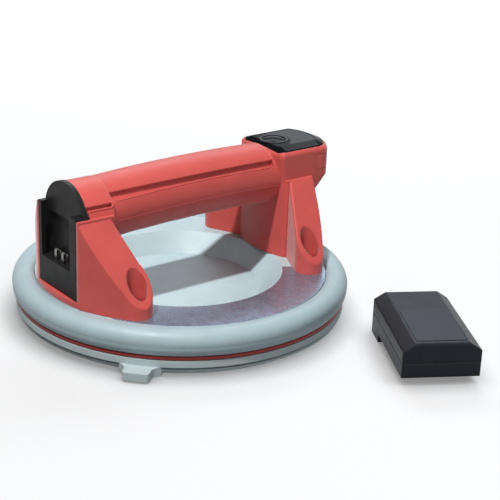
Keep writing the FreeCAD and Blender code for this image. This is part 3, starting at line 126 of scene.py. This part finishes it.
# ---------------------------------------------------------------------------
# Finishes
# ---------------------------------------------------------------------------
class ShaderTree:
    """A short way to write a node tree."""

    def __init__(self, tree: bpy.types.NodeTree) -> None:
        """Empties the tree.

        Args:
            tree: Node tree of a material or a world.
        """
        self.nodes = tree.nodes
        self.links = tree.links
        self.nodes.clear()

    def socket(self, node: bpy.types.Node, key: str) -> bpy.types.NodeSocket:
        """Finds an input socket.

        Args:
            node: The node.
            key: The socket's name with underscores for spaces, or i and its number.

        Returns:
            The socket.
        """
        number = key[1:]
        if key[0] == "i" and number.isdigit():
            return node.inputs[int(number)]
        return node.inputs[key.replace("_", " ")]

    def add(self, kind: str, settings: dict | None = None, **inputs: object) -> bpy.types.Node:
        """Adds a node and fills its sockets.

        Args:
            kind: Node type without its ShaderNode prefix.
            settings: Values of the node's own properties.
            inputs: Socket values or sockets to link, by the keys that socket takes.

        Returns:
            The new node.
        """
        node = self.nodes.new("ShaderNode" + kind)
        for key, value in (settings or {}).items():
            setattr(node, key, value)
        for key, value in inputs.items():
            socket = self.socket(node, key)
            if isinstance(value, bpy.types.NodeSocket):
                self.links.new(value, socket)
            elif isinstance(value, tuple) and len(value) == 3 and socket.type == "RGBA":
                socket.default_value = (*value, 1.0)
            else:
                socket.default_value = value
        return node

    def spread(self, value: bpy.types.NodeSocket, low: float, high: float,
               start: float = 0.3, end: float = 0.7) -> bpy.types.NodeSocket:
        """Maps a field to a range of values.

        Args:
            value: The field.
            low: Result at start and below.
            high: Result at end and above.
            start: Field value that gives low.
            end: Field value that gives high.

        Returns:
            The mapped value.
        """
        node = self.add("MapRange", Value=value, From_Min=start, From_Max=end, To_Min=low, To_Max=high)
        return node.outputs[0]

    def blend(self, share: bpy.types.NodeSocket, first: object, second: object) -> bpy.types.NodeSocket:
        """Mixes two colours by a field.

        Args:
            share: Share of the second colour.
            first: Colour or colour socket where the share is 0.
            second: Colour or colour socket where the share is 1.

        Returns:
            The mixed colour.
        """
        return self.add("MixRGB", Fac=share, Color1=first, Color2=second).outputs[0]

    def calculate(self, operation: str, first: bpy.types.NodeSocket,
                  second: bpy.types.NodeSocket) -> bpy.types.NodeSocket:
        """Joins two values by a sum of the given kind.

        Args:
            operation: Name of the operation.
            first: The first value.
            second: The second value.

        Returns:
            The result.
        """
        return self.add("Math", {"operation": operation}, i0=first, i1=second).outputs[0]

    def seen_directly(self) -> bpy.types.NodeSocket:
        """Tells what is seen directly from what only lights something.

        Returns:
            1 for camera, mirror and glass rays and 0 for the rest.
        """
        path = self.add("LightPath").outputs
        plain = self.calculate("MAXIMUM", path["Is Camera Ray"], path["Is Glossy Ray"])
        return self.calculate("MAXIMUM", plain, path["Is Transmission Ray"])


class MaterialTree(ShaderTree):
    """The node tree of a new material."""

    def __init__(self, name: str) -> None:
        """Starts an empty material.

        Args:
            name: Name of the material.
        """
        self.material = bpy.data.materials.new(name)
        self.material.use_nodes = True
        super().__init__(self.material.node_tree)
        self.coordinates = self.add("TexCoord").outputs["Object"]

    def noise(self, size_mm: float, detail: float = 2.0, rough: float = 0.5,
              stretch: Triple = (1.0, 1.0, 1.0)) -> bpy.types.NodeSocket:
        """Adds a noise field in the object's own space.

        Args:
            size_mm: Size of one blotch in millimetres.
            detail: Octaves of the noise.
            rough: Strength of the finer octaves.
            stretch: Scale along each axis.

        Returns:
            The noise value, from 0 to 1.
        """
        mapping = self.add("Mapping", Vector=self.coordinates, Scale=stretch)
        node = self.add("TexNoise", Vector=mapping.outputs[0], Scale=1 / (size_mm * MM),
                        Detail=detail, Roughness=rough)
        return node.outputs["Fac"]

    def close(self, shader: bpy.types.Node) -> bpy.types.Material:
        """Links the last shader to the output and hands the material over."""
        self.add("OutputMaterial", Surface=shader.outputs[0])
        return self.material


@dataclass(frozen=True)
class Finish:
    """A moulded surface: its colour, sheen, fine grain, softened edges and a painted highlight that
    lightens its convex edges.
    """

    name: str
    colour: Colour
    roughness: float = 0.45
    metallic: float = 0.0
    specular: float = 0.5
    sheen: float = 0.0
    sheen_roughness: float = 0.4
    grain_mm: float = 0.35
    grain_depth_mm: float = 0.02
    stretch: Triple = (1.0, 1.0, 1.0)
    mottle: float = 0.05
    mottle_mm: float = 14.0
    mottle_octaves: float = 3.0
    handling_mm: float = 6.0
    handling_octaves: float = 4.0
    fineness: float = 0.6
    handled_low: float = 0.88
    handled_high: float = 1.14
    edge_mm: float = 0.6
    edge_samples: int = 6
    # Painted highlight: how much lighter, and from which pointiness on, convex edges are painted in place
    # of edge highlights.
    edge_highlight: float = 0.12
    highlight_from: float = 0.53
    highlight_full: float = 0.62
    highlight_lightness: float = 1.6

    def shade(self, factor: float) -> Colour:
        """Gives the base colour made lighter or darker by a factor."""
        red, green, blue = (min(1.0, part * factor) for part in self.colour)
        return red, green, blue

    def colours(self, tree: MaterialTree) -> bpy.types.NodeSocket:
        """Builds the surface's colour: broad mottling and a painted highlight that makes convex edges
        lighter.

        Args:
            tree: The material in the making.

        Returns:
            The colour socket.
        """
        broad = tree.spread(tree.noise(self.mottle_mm, self.mottle_octaves), 0.0, 1.0)
        base = tree.blend(broad, self.shade(1 - self.mottle), self.shade(1 + self.mottle))
        # Painted highlight: sharp convex edges, found by pointiness, are painted lighter.
        edges = tree.add("NewGeometry").outputs["Pointiness"]
        painted_highlight = tree.spread(edges, 0.0, self.edge_highlight, self.highlight_from, self.highlight_full)
        return tree.blend(painted_highlight, base, self.shade(self.highlight_lightness))

    def normal(self, tree: MaterialTree) -> bpy.types.NodeSocket:
        """Builds the fine grain over softened edges.

        Args:
            tree: The material in the making.

        Returns:
            The normal socket.
        """
        soft = tree.add("Bevel", {"samples": self.edge_samples}, Radius=self.edge_mm * MM).outputs[0]
        grain = tree.noise(self.grain_mm, rough=self.fineness, stretch=self.stretch)
        return tree.add("Bump", Strength=1.0, Distance=self.grain_depth_mm * MM, Height=grain,
                        Normal=soft).outputs[0]

    def rough(self, tree: MaterialTree) -> bpy.types.NodeSocket:
        """Varies the roughness a little, as handling does.

        Args:
            tree: The material in the making.

        Returns:
            The roughness socket.
        """
        handled = tree.noise(self.handling_mm, self.handling_octaves, self.fineness)
        return tree.spread(handled, self.roughness * self.handled_low,
                           min(1.0, self.roughness * self.handled_high))

    def build(self) -> bpy.types.Material:
        """Builds the material.

        Returns:
            The finished material.
        """
        tree = MaterialTree(self.name)
        shader = tree.add("BsdfPrincipled", Base_Color=self.colours(tree), Roughness=self.rough(tree),
                          Normal=self.normal(tree), Metallic=self.metallic)
        shader.inputs["Specular IOR Level"].default_value = self.specular
        shader.inputs["Sheen Weight"].default_value = self.sheen
        shader.inputs["Sheen Roughness"].default_value = self.sheen_roughness
        return tree.close(shader)


@dataclass(frozen=True)
class BareMetal(Finish):
    """Bare metal with a fine grain, which the stretch can draw out into lines."""

    metallic: float = 1.0
    grain_mm: float = 0.3
    grain_depth_mm: float = 0.006
    edge_mm: float = 0.15
    mottle: float = 0.08
    roughness: float = 0.28


@dataclass(frozen=True)
class Foil(Finish):
    """Thin bright foil that lies slightly uneven."""

    metallic: float = 0.78
    roughness: float = 0.27
    grain_depth_mm: float = 0.00075
    ripple_mm: float = 9.0
    ripple_depth_mm: float = 0.035

    def normal(self, tree: MaterialTree) -> bpy.types.NodeSocket:
        """Builds shallow ripples with a finer grain on them.

        Args:
            tree: The material in the making.

        Returns:
            The normal socket.
        """
        waved = tree.add("Bump", Strength=1.0, Distance=self.ripple_depth_mm * MM,
                         Height=tree.noise(self.ripple_mm)).outputs[0]
        return tree.add("Bump", Strength=1.0, Distance=self.grain_depth_mm * MM,
                        Height=tree.noise(self.grain_mm), Normal=waved).outputs[0]


def base_finishes() -> list[Finish]:
    """Lists the finishes of the round base."""
    return [
        Finish("pad_rubber", linear(172, 184, 186), 0.62, grain_depth_mm=0.03),
        Finish("wear_red", linear(150, 34, 32), 0.5),
        Finish("rim_grey", linear(157, 176, 182), 0.5, grain_depth_mm=0.018, edge_highlight=0.04),
        Finish("plate_grey", linear(172, 193, 198), 0.45, grain_depth_mm=0.012, edge_highlight=0.04),
        Foil("foil", linear(150, 168, 188)),
        Finish("filter_foam", linear(226, 226, 218), 0.95, grain_mm=0.6, grain_depth_mm=0.2),
    ]


def handle_finishes() -> list[Finish]:
    """Lists the finishes of the handle's outside, with red_wall and panel_gloss as looks of no slot."""
    shell = Finish("red_shell", linear(196, 80, 74), 0.42, specular=0.26, sheen=0.3, grain_mm=0.3,
                   edge_mm=0.9)
    return [
        shell,
        replace(shell, name="red_wall", edge_mm=0.05),
        Finish("dock_black", linear(27, 26, 27), 0.45, specular=0.15, edge_mm=0.5, edge_highlight=0.05),
        Finish("panel_black", linear(8, 11, 16), 0.07, specular=0.03, grain_depth_mm=0.002,
               edge_mm=0.8, edge_highlight=0.02),
        Finish("panel_gloss", linear(14, 17, 23), 0.06, grain_depth_mm=0.001, edge_mm=0.2),
        Finish("window_smoke", linear(26, 33, 42), 0.08, specular=0.14, grain_depth_mm=0.001,
               edge_mm=0.3, edge_highlight=0.02),
        BareMetal("steel", linear(176, 178, 182)),
        BareMetal("spring_metal", linear(132, 130, 126), 0.24),
    ]


def inner_finishes() -> list[Finish]:
    """Lists the finishes of what the handle holds."""
    return [
        BareMetal("copper", linear(196, 120, 78), 0.35, stretch=(0.1, 1.0, 1.0)),
        Finish("magnet", linear(74, 74, 78), 0.6),
        Finish("pump_plastic", linear(50, 50, 53), 0.5),
        Finish("soft_black", linear(34, 34, 34), 0.8),
        Finish("hose_rubber", linear(206, 210, 206), 0.4),
        Finish("board", linear(18, 96, 48), 0.35),
        Finish("switch", linear(40, 40, 42), 0.5),
        Finish("display", linear(70, 84, 76), 0.1, grain_depth_mm=0.002),
        Finish("lead", linear(176, 30, 28), 0.4),
    ]


def pack_finishes() -> list[Finish]:
    """Lists the finishes of the battery pack."""
    return [
        Finish("pack_black", linear(24, 28, 35), 0.36, specular=0.14, edge_mm=2.2, mottle=0.03,
               edge_highlight=0.08),
        Finish("cell", linear(60, 130, 176), 0.3, grain_depth_mm=0.004),
        Finish("label", linear(30, 35, 45), 0.3, specular=0.14, grain_depth_mm=0.004, edge_mm=0.2),
    ]


class Finishes:
    """Every finish of the object, by name."""

    def __init__(self) -> None:
        """Builds all materials."""
        made = base_finishes() + handle_finishes() + inner_finishes() + pack_finishes()
        self.by_name = {finish.name: finish.build() for finish in made}

    def dress(self, node: str, slot: str) -> None:
        """Gives a CAD node its finish.

        Args:
            node: Name of the CAD node.
            slot: Name of the material slot.
        """
        mesh = frame["nodes"][node].data
        mesh.materials.clear()
        mesh.materials.append(self.by_name[slot])
        LOG.info("%s in %s", node, slot)


# ---------------------------------------------------------------------------
# Pieces
# ---------------------------------------------------------------------------
@dataclass(frozen=True)
class Piece:
    """A mesh of this file that rides on the lifter's body."""

    name: str
    slot: str
    look: str = ""
    smooth: bool = True

    def finish(self, maker: bmesh.types.BMesh, finishes: Finishes) -> None:
        """Turns the geometry into a dressed piece on its body.

        Args:
            maker: The geometry, in metres.
            finishes: The finishes to pick from.
        """
        bmesh.ops.recalc_face_normals(maker, faces=maker.faces)
        item = mesh_object(self.name, maker)
        item.data.materials.append(finishes.by_name[self.look or self.slot])
        if self.smooth:
            item.data.shade_smooth()
        bpy.context.scene.collection.objects.link(item)
        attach(item, LIFTER)
        LOG.info("%s rides on %s", self.name, LIFTER)


def mesh_object(name: str, maker: bmesh.types.BMesh) -> bpy.types.Object:
    """Turns geometry into an object that no collection holds yet.

    Args:
        name: Name of the object and its mesh.
        maker: The geometry, which is freed.

    Returns:
        The object.
    """
    mesh = bpy.data.meshes.new(name)
    maker.to_mesh(mesh)
    maker.free()
    return bpy.data.objects.new(name, mesh)


@dataclass(frozen=True)
class Bead:
    """A rounded ridge along a path, with narrowed ends."""

    radius: float
    sunk: float = 0.0
    sides: int = 10
    end_share: float = 0.35

    def section(self, maker: bmesh.types.BMesh, middle: Vector, across: Vector, up: Vector,
                radius: float) -> list[bmesh.types.BMVert]:
        """Adds the corners of one section.

        Args:
            maker: Geometry to add to.
            middle: The section's middle.
            across: Direction along the surface.
            up: Direction away from the surface.
            radius: Radius of the section.

        Returns:
            The corners in order.
        """
        turns = [2 * math.pi * step / self.sides for step in range(self.sides)]
        return [maker.verts.new(middle + radius * (math.cos(turn) * up + math.sin(turn) * across))
                for turn in turns]

    def add(self, maker: bmesh.types.BMesh, path: list[Station]) -> None:
        """Adds the ridge.

        Args:
            maker: Geometry to add to.
            path: Points on the surface, each with the direction away from it.
        """
        points = [point - out * self.radius * self.sunk for point, out in path]
        last = len(points) - 1
        rings = []
        for number, (point, (_, out)) in enumerate(zip(points, path)):
            along = (points[min(number + 1, last)] - points[max(number - 1, 0)]).normalized()
            across = along.cross(out).normalized()
            share = self.end_share if number in (0, last) else 1.0
            rings.append(self.section(maker, point, across, across.cross(along), self.radius * share))
        for first, second in zip(rings, rings[1:]):
            for step in range(self.sides):
                following = (step + 1) % self.sides
                maker.faces.new((first[step], first[following], second[following], second[step]))
        maker.faces.new(rings[0][::-1])
        maker.faces.new(rings[-1])


@dataclass(frozen=True)
class GripLines:
    """The moulded ridges along the grip and its cuff."""

    radius: float = 19.3 * MM
    arch_radius: float = 1100.0 * MM
    arch_middle: float = 12.0 * MM
    steps: int = 24
    seam: Bead = Bead(0.22 * MM)
    seam_angle: float = -10.0
    seam_reach: float = 3.0 * MM
    ledge: Bead = Bead(0.55 * MM, sunk=0.55)
    ledge_angle: float = 26.0
    cuff_radius: float = 22.3 * MM
    cuff_end: float = -62.0 * MM
    cuff_below_arch: float = 0.5 * MM
    ridge: Bead = Bead(0.75 * MM, sunk=0.45)
    ridge_angle: float = 25.5
    ridge_steps: int = 8
    ridge_start: float = 0.6 * MM
    ridge_stop: float = 1.6 * MM
    bend_angle: float = 26.5
    bend_start: float = 0.7 * MM
    rise_x: float = 0.2 * MM
    rise_from: float = 28.5
    rise_to: float = 37.3
    rise_steps: int = 4

    def station(self, middle: Vector, radius: float, degrees: float, side: Side) -> Station:
        """Finds a point of a round surface about an X axis.

        Args:
            middle: Point of the axis.
            radius: Radius of the surface.
            degrees: Angle above the horizontal.
            side: Side of the handle.

        Returns:
            The point and the direction outwards.
        """
        angle = math.radians(degrees)
        out = Vector((0.0, side.value * math.cos(angle), math.sin(angle)))
        return middle + out * radius, out

    def on_grip(self, x: float, degrees: float, side: Side) -> Station:
        """Finds a point of the arched grip.

        Args:
            x: Triple along the grip.
            degrees: Angle above the horizontal.
            side: Side of the handle.

        Returns:
            The point and the direction outwards.
        """
        drop = self.arch_radius - math.sqrt(self.arch_radius ** 2 - (x - self.arch_middle) ** 2)
        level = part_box("grip_cover")[1].z - drop - self.radius
        return self.station(Vector((x, 0.0, level)), self.radius, degrees, side)

    def on_cuff(self, x: float, degrees: float, side: Side) -> Station:
        """Finds a point of the cuff.

        Args:
            x: Triple along the cuff.
            degrees: Angle above the horizontal.
            side: Side of the handle.

        Returns:
            The point and the direction outwards.
        """
        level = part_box("battery_dock")[1].z - self.cuff_below_arch - self.cuff_radius
        return self.station(Vector((x, 0.0, level)), self.cuff_radius, degrees, side)

    def along_grip(self, end: float, degrees: float, side: Side) -> list[Station]:
        """Follows the grip from the cuff to an end at one angle.

        Args:
            end: Triple where the path ends.
            degrees: Angle above the horizontal.
            side: Side of the handle.

        Returns:
            The path.
        """
        return [self.on_grip(x, degrees, side) for x in spaced(self.cuff_end, end, self.steps)]

    def round_cuff(self, side: Side) -> list[Station]:
        """Follows the cuff's edge and its rise at the grip.

        Args:
            side: Side of the handle.

        Returns:
            The path.
        """
        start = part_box("grip_cover")[0].x + self.ridge_start
        path = [self.on_cuff(x, self.ridge_angle, side)
                for x in spaced(start, self.cuff_end - self.ridge_stop, self.ridge_steps)]
        path.append(self.on_cuff(self.cuff_end - self.bend_start, self.bend_angle, side))
        return path + [self.on_cuff(self.cuff_end - self.rise_x, degrees, side)
                       for degrees in spaced(self.rise_from, self.rise_to, self.rise_steps)]

    def build(self, finishes: Finishes) -> None:
        """Builds the ridges on both sides.

        Args:
            finishes: The finishes to pick from.
        """
        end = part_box("grip_cover")[1].x
        seam, ledge, ridge = bmesh.new(), bmesh.new(), bmesh.new()
        for side in Side:
            self.seam.add(seam, self.along_grip(end + self.seam_reach, self.seam_angle, side))
            self.ledge.add(ledge, self.along_grip(end, self.ledge_angle, side))
            self.ridge.add(ridge, self.round_cuff(side))
        for name, maker in (("grip_parting_line", seam), ("grip_ledge", ledge), ("cuff_ridge", ridge)):
            Piece(name, "red_shell").finish(maker, finishes)


@dataclass(frozen=True)
class ButtonRing:
    """The glossy ring around the button."""

    radius: float = 8.5 * MM
    bead: Bead = Bead(0.6 * MM, sides=14)
    steps: int = 64

    def build(self, finishes: Finishes) -> None:
        """Builds the ring on the panel.

        Args:
            finishes: The finishes to pick from.
        """
        low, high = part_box("power_button")
        middle = Vector(((low.x + high.x) / 2, 0.0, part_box("control_panel")[1].z))
        up = Vector((0.0, 0.0, 1.0))
        path = [(middle + self.radius * Vector((math.cos(turn), math.sin(turn), 0.0)), up)
                for turn in spaced(0.0, 2 * math.pi, self.steps)]
        maker = bmesh.new()
        self.bead.add(maker, path)
        Piece("button_ring", "panel_black", look="panel_gloss").finish(maker, finishes)


@dataclass(frozen=True)
class ArchRim:
    """The rounded rim of the dock's arch."""

    radius: float = 22.45 * MM
    below_top: float = 0.35 * MM
    behind_front: float = 5.25 * MM
    bead: Bead = Bead(0.4 * MM)
    start: float = 16.0
    steps: int = 48

    def build(self, finishes: Finishes) -> None:
        """Builds the rim on the arch plate.

        Args:
            finishes: The finishes to pick from.
        """
        low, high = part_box("battery_dock")
        middle = Vector((low.x + self.behind_front, 0.0, high.z - self.radius - self.below_top))
        turns = [math.radians(degrees) for degrees in spaced(self.start, 180 - self.start, self.steps)]
        outward = [Vector((0.0, math.cos(turn), math.sin(turn))) for turn in turns]
        maker = bmesh.new()
        self.bead.add(maker, [(middle + self.radius * out, out) for out in outward])
        Piece("arch_rim", "dock_black").finish(maker, finishes)


@dataclass(frozen=True)
class FootWall:
    """The inner wall that the handle's solid lacks on the two feet beside the battery dock."""

    centre: tuple[float, float] = (-64.02 * MM, 48.31 * MM)
    foot_radius: float = 9.1 * MM
    counterbore_radius: float = 6.1 * MM
    proud: float = 0.04 * MM
    column_half: float = 24.0 * MM
    inner_x: float = -65.56 * MM
    far_x: float = -61.4 * MM
    bottom: float = 26.6 * MM
    slope_top: float = 78.45 * MM
    slope_end: float = 33.55 * MM
    arc_step: float = 0.12
    arc_points: int = 18
    edge: float = 1.2 * MM
    edge_segments: int = 4
    edge_margin: float = 0.01 * MM
    wave_radius: float = 20.0 * MM
    wave_x: float = -40.0 * MM
    wave_z: float = 41.9 * MM
    cutter_length: float = 300.0 * MM
    cutter_sides: int = 128

    def plan(self, side: Side) -> list[tuple[float, float]]:
        """Gives the wall's outline seen from above.

        Args:
            side: Side of the handle.

        Returns:
            Points of the outline.
        """
        middle_x, middle_y = self.centre
        radius = self.foot_radius + self.proud
        away = Vector((self.inner_x - middle_x, middle_y - self.column_half))
        start = math.atan2(away.y, away.x) - math.acos(radius / away.length)
        turns = [start - number * self.arc_step for number in range(self.arc_points)]
        arc = [(middle_x + radius * math.cos(turn), -middle_y + radius * math.sin(turn)) for turn in turns]
        tangent = Vector(arc[0])
        inner = Vector((self.inner_x, -self.column_half))
        kept = [(x, y) for x, y in arc if x > self.far_x]
        kept.append((self.far_x, kept[-1][1]))
        kept.append(tuple(tangent.lerp(inner, (self.far_x - tangent.x) / (inner.x - tangent.x))))
        return [(x, -side.value * y) for x, y in kept]

    def slope(self, y: float) -> float:
        """Gives the height of the foot's slope at a distance y from the middle plane."""
        reach = self.centre[1] + self.foot_radius + self.proud - self.column_half
        return self.slope_top - (self.slope_top - self.slope_end) * (y - self.column_half) / reach

    def block(self, side: Side) -> bpy.types.Object:
        """Makes the wall's full block, its outer rim rounded.

        Args:
            side: Side of the handle.

        Returns:
            The block.
        """
        maker = bmesh.new()
        plan = self.plan(side)
        low = [maker.verts.new((x, y, CAD_BOX[0][2] + self.bottom)) for x, y in plan]
        high = [maker.verts.new((x, y, self.slope(abs(y)))) for x, y in plan]
        maker.faces.new(low)
        top = maker.faces.new(high)
        for number, (first, second) in enumerate(zip(low, low[1:] + low[:1])):
            maker.faces.new((first, second, high[(number + 1) % len(high)], high[number]))
        bmesh.ops.recalc_face_normals(maker, faces=maker.faces)
        outside = self.far_x + self.edge_margin
        rim = [edge for edge in top.edges if max(corner.co.x for corner in edge.verts) > outside]
        bmesh.ops.bevel(maker, geom=rim, offset=self.edge, segments=self.edge_segments, profile=0.5,
                        affect="EDGES")
        return mesh_object("block", maker)

    def cutter(self, radius: float, axis: Axis, middle: Triple) -> bpy.types.Object:
        """Makes a long round cutter.

        Args:
            radius: Radius of the cutter.
            axis: Direction of the cutter.
            middle: Middle of the cutter.

        Returns:
            The cutter.
        """
        maker = bmesh.new()
        turned = Matrix.Translation(middle) @ Matrix.Rotation(axis.value, 4, "X")
        bmesh.ops.create_cone(maker, cap_ends=True, segments=self.cutter_sides, radius1=radius,
                              radius2=radius, depth=self.cutter_length, matrix=turned)
        return mesh_object("cutter", maker)

    def trimmed(self, block: bpy.types.Object,
                cutters: list[tuple[Cut, bpy.types.Object]]) -> bmesh.types.BMesh:
        """Cuts the block and removes it and its cutters.

        Args:
            block: The block.
            cutters: Each cutter with what it leaves.

        Returns:
            The geometry that is left.
        """
        items = bpy.context.scene.collection.objects
        items.link(block)
        for cut, cutter in cutters:
            items.link(cutter)
            step = block.modifiers.new(cut.name, "BOOLEAN")
            step.operation = cut.value
            step.solver = "EXACT"
            step.object = cutter
        shape = bmesh.new()
        shape.from_object(block, bpy.context.evaluated_depsgraph_get())
        for spare in (block, *(cutter for _, cutter in cutters)):
            bpy.data.objects.remove(spare)
        return shape

    def build(self, finishes: Finishes) -> None:
        """Builds the wall of both feet.

        Args:
            finishes: The finishes to pick from.
        """
        middle_x, middle_y = self.centre
        for side in Side:
            wave = self.cutter(self.wave_radius + self.edge, Axis.ALONG_Y, (self.wave_x, 0.0, self.wave_z))
            bore = self.cutter(self.counterbore_radius - self.proud, Axis.UPRIGHT,
                               (middle_x, side.value * middle_y, 0.0))
            shape = self.trimmed(self.block(side), [(Cut.INSIDE, wave), (Cut.OUTSIDE, bore)])
            name = "foot_wall_" + side.name.lower()
            Piece(name, "red_shell", look="red_wall", smooth=False).finish(shape, finishes)


# ---------------------------------------------------------------------------
# Studio
# ---------------------------------------------------------------------------
WHITE = (1.0, 1.0, 1.0)
COOL_WHITE = (0.86, 0.93, 1.0)
BASE_MIDDLE = (0.0, 0.0, 0.05)


@dataclass(frozen=True)
class SoftBox:
    """A rectangular lamp."""

    name: str
    place: Triple
    width: float
    height: float
    power: float
    aim: Triple = BASE_MIDDLE
    along: Triple = (0.0, 0.0, 1.0)
    tint: Colour = WHITE
    skips_floor: bool = False

    def turned(self) -> Matrix:
        """Works out the lamp's place and turn.

        Returns:
            The lamp's matrix.
        """
        back = (Vector(self.place) - Vector(self.aim)).normalized()
        across = Vector(self.along).cross(back).normalized()
        axes = Matrix((across, back.cross(across), back)).transposed()
        return Matrix.Translation(self.place) @ axes.to_4x4()

    def leave_out(self, lamp: bpy.types.Object, floor: bpy.types.Object) -> None:
        """Keeps the lamp's light off the floor, so that only soft shade falls there.

        Args:
            lamp: The lamp.
            floor: The floor.
        """
        unlit = bpy.data.collections.new(self.name + "_unlit")
        unlit.objects.link(floor)
        lamp.light_linking.receiver_collection = unlit
        unlit.collection_objects[0].light_linking.link_state = "EXCLUDE"

    def build(self, floor: bpy.types.Object) -> None:
        """Makes the lamp.

        Args:
            floor: The floor.
        """
        data = bpy.data.lights.new(self.name, "AREA")
        data.shape = "RECTANGLE"
        data.size = self.width
        data.size_y = self.height
        data.energy = self.power
        data.color = self.tint
        lamp = bpy.data.objects.new(self.name, data)
        lamp.matrix_world = self.turned()
        bpy.context.scene.collection.objects.link(lamp)
        if self.skips_floor:
            self.leave_out(lamp, floor)


LAMPS = (
    SoftBox("lamp_key", (-0.6, -0.26, 1.45), 0.07, 0.2, 26.0, along=(0.88, -0.06, 0.33), skips_floor=True),
    SoftBox("lamp_front", (0.3, -0.95, 1.15), 0.9, 0.8, 2.8, tint=(0.9, 0.95, 1.0)),
    SoftBox("lamp_side", (-0.45, -0.95, 0.28), 0.4, 0.4, 1.5, aim=(-0.03, 0.0, 0.03)),
    SoftBox("lamp_top", (0.9, 0.1, 1.2), 0.9, 0.9, 0.8, tint=COOL_WHITE),
    SoftBox("lamp_back", (0.72, 0.92, 1.02), 1.0, 0.4, 5.5, tint=COOL_WHITE),
)


@dataclass(frozen=True)
class Viewpoint:
    """The camera's place and its viewing angles in degrees."""

    place: Triple = (-0.4467, -0.6409, 0.34547)
    azimuth: float = -38.04
    elevation: float = 21.45
    roll: float = 2.16
    lens_mm: float = 96.12
    sensor_mm: float = 36.0

    def build(self) -> None:
        """Places the camera."""
        turn, lift, roll = (math.radians(angle) for angle in (self.azimuth, self.elevation, self.roll))
        back = Vector((math.sin(turn) * math.cos(lift), -math.cos(turn) * math.cos(lift), math.sin(lift)))
        right = Vector((math.cos(turn), math.sin(turn), 0.0))
        up = back.cross(right)
        rolled_right = math.cos(roll) * right + math.sin(roll) * up
        rolled_up = -math.sin(roll) * right + math.cos(roll) * up
        data = bpy.data.cameras.new("camera")
        data.lens = self.lens_mm
        data.sensor_width = self.sensor_mm
        camera = bpy.data.objects.new("camera", data)
        axes = Matrix((rolled_right, rolled_up, back)).transposed()
        camera.matrix_world = Matrix.Translation(self.place) @ axes.to_4x4()
        bpy.context.scene.collection.objects.link(camera)
        bpy.context.scene.camera = camera


@dataclass(frozen=True)
class Floor:
    """The pale floor, which keeps the object's shadow: real shadow from the lamps on its lit part and a
    painted contact shadow in its glow.
    """

    radius: float = 4.0
    segments: int = 96
    gap: float = 0.2 * MM
    colour: Colour = (0.9, 0.9, 0.9)
    glow: float = 0.7
    # Painted contact shadow: these set how far and how strongly ambient occlusion darkens the floor's glow
    # close to the object.
    painted_shadow_reach: float = 18.0 * MM
    painted_shadow_samples: int = 8
    painted_shadow_from: float = 0.35
    painted_shadow_to: float = 0.97
    painted_shadow_dark: float = 0.3

    def material(self) -> bpy.types.Material:
        """Builds the floor's material: it glows where it is seen, and a painted contact shadow darkens the
        glow close to the object.

        Returns:
            The finished material.
        """
        tree = MaterialTree("floor")
        # Painted contact shadow: ambient occlusion near the object darkens the glow, apart from the lamps'
        # light.
        near = tree.add("AmbientOcclusion", {"samples": self.painted_shadow_samples}, Distance=self.painted_shadow_reach)
        shade = tree.spread(near.outputs["AO"], self.painted_shadow_dark, 1.0, self.painted_shadow_from, self.painted_shadow_to)
        level = tree.spread(tree.seen_directly(), 0.0, self.glow, 0.0, 1.0)
        plain = tree.add("BsdfDiffuse", Color=self.colour)
        glow = tree.add("Emission", Strength=tree.calculate("MULTIPLY", level, shade))
        return tree.close(tree.add("AddShader", i0=plain.outputs[0], i1=glow.outputs[0]))

    def build(self) -> bpy.types.Object:
        """Makes the floor.

        Returns:
            The floor.
        """
        maker = bmesh.new()
        bmesh.ops.create_circle(maker, cap_ends=True, radius=self.radius, segments=self.segments)
        floor = mesh_object("floor", maker)
        floor.location.z = CAD_BOX[0][2] - self.gap
        floor.data.materials.append(self.material())
        bpy.context.scene.collection.objects.link(floor)
        return floor


@dataclass(frozen=True)
class Backdrop:
    """A backdrop that is white where it is seen, and softer as a light."""

    ambient: float = 0.05

    def build(self) -> None:
        """Makes the backdrop."""
        world = bpy.data.worlds.new("backdrop")
        bpy.context.scene.world = world
        world.use_nodes = True
        tree = ShaderTree(world.node_tree)
        level = tree.spread(tree.seen_directly(), self.ambient, 1.0, 0.0, 1.0)
        background = tree.add("Background", Strength=level)
        tree.add("OutputWorld", Surface=background.outputs[0])


def build_studio() -> None:
    """Builds camera, floor, backdrop and lamps."""
    bpy.context.scene.view_settings.view_transform = "Standard"
    Viewpoint().build()
    floor = Floor().build()
    Backdrop().build()
    for lamp in LAMPS:
        lamp.build(floor)
    LOG.info("studio with %d lamps", len(LAMPS))


def main() -> None:
    """Builds the studio and dresses every piece."""
    logging.basicConfig(level=logging.INFO, format="%(name)s: %(message)s")
    build_studio()
    finishes = Finishes()
    for part in frame["record"]["subparts"]:
        finishes.dress(part["node"], part["material_slot"])
    for assembly in (GripLines(), ButtonRing(), ArchRim(), FootWall()):
        assembly.build(finishes)


if __name__ == "__main__":
    main()
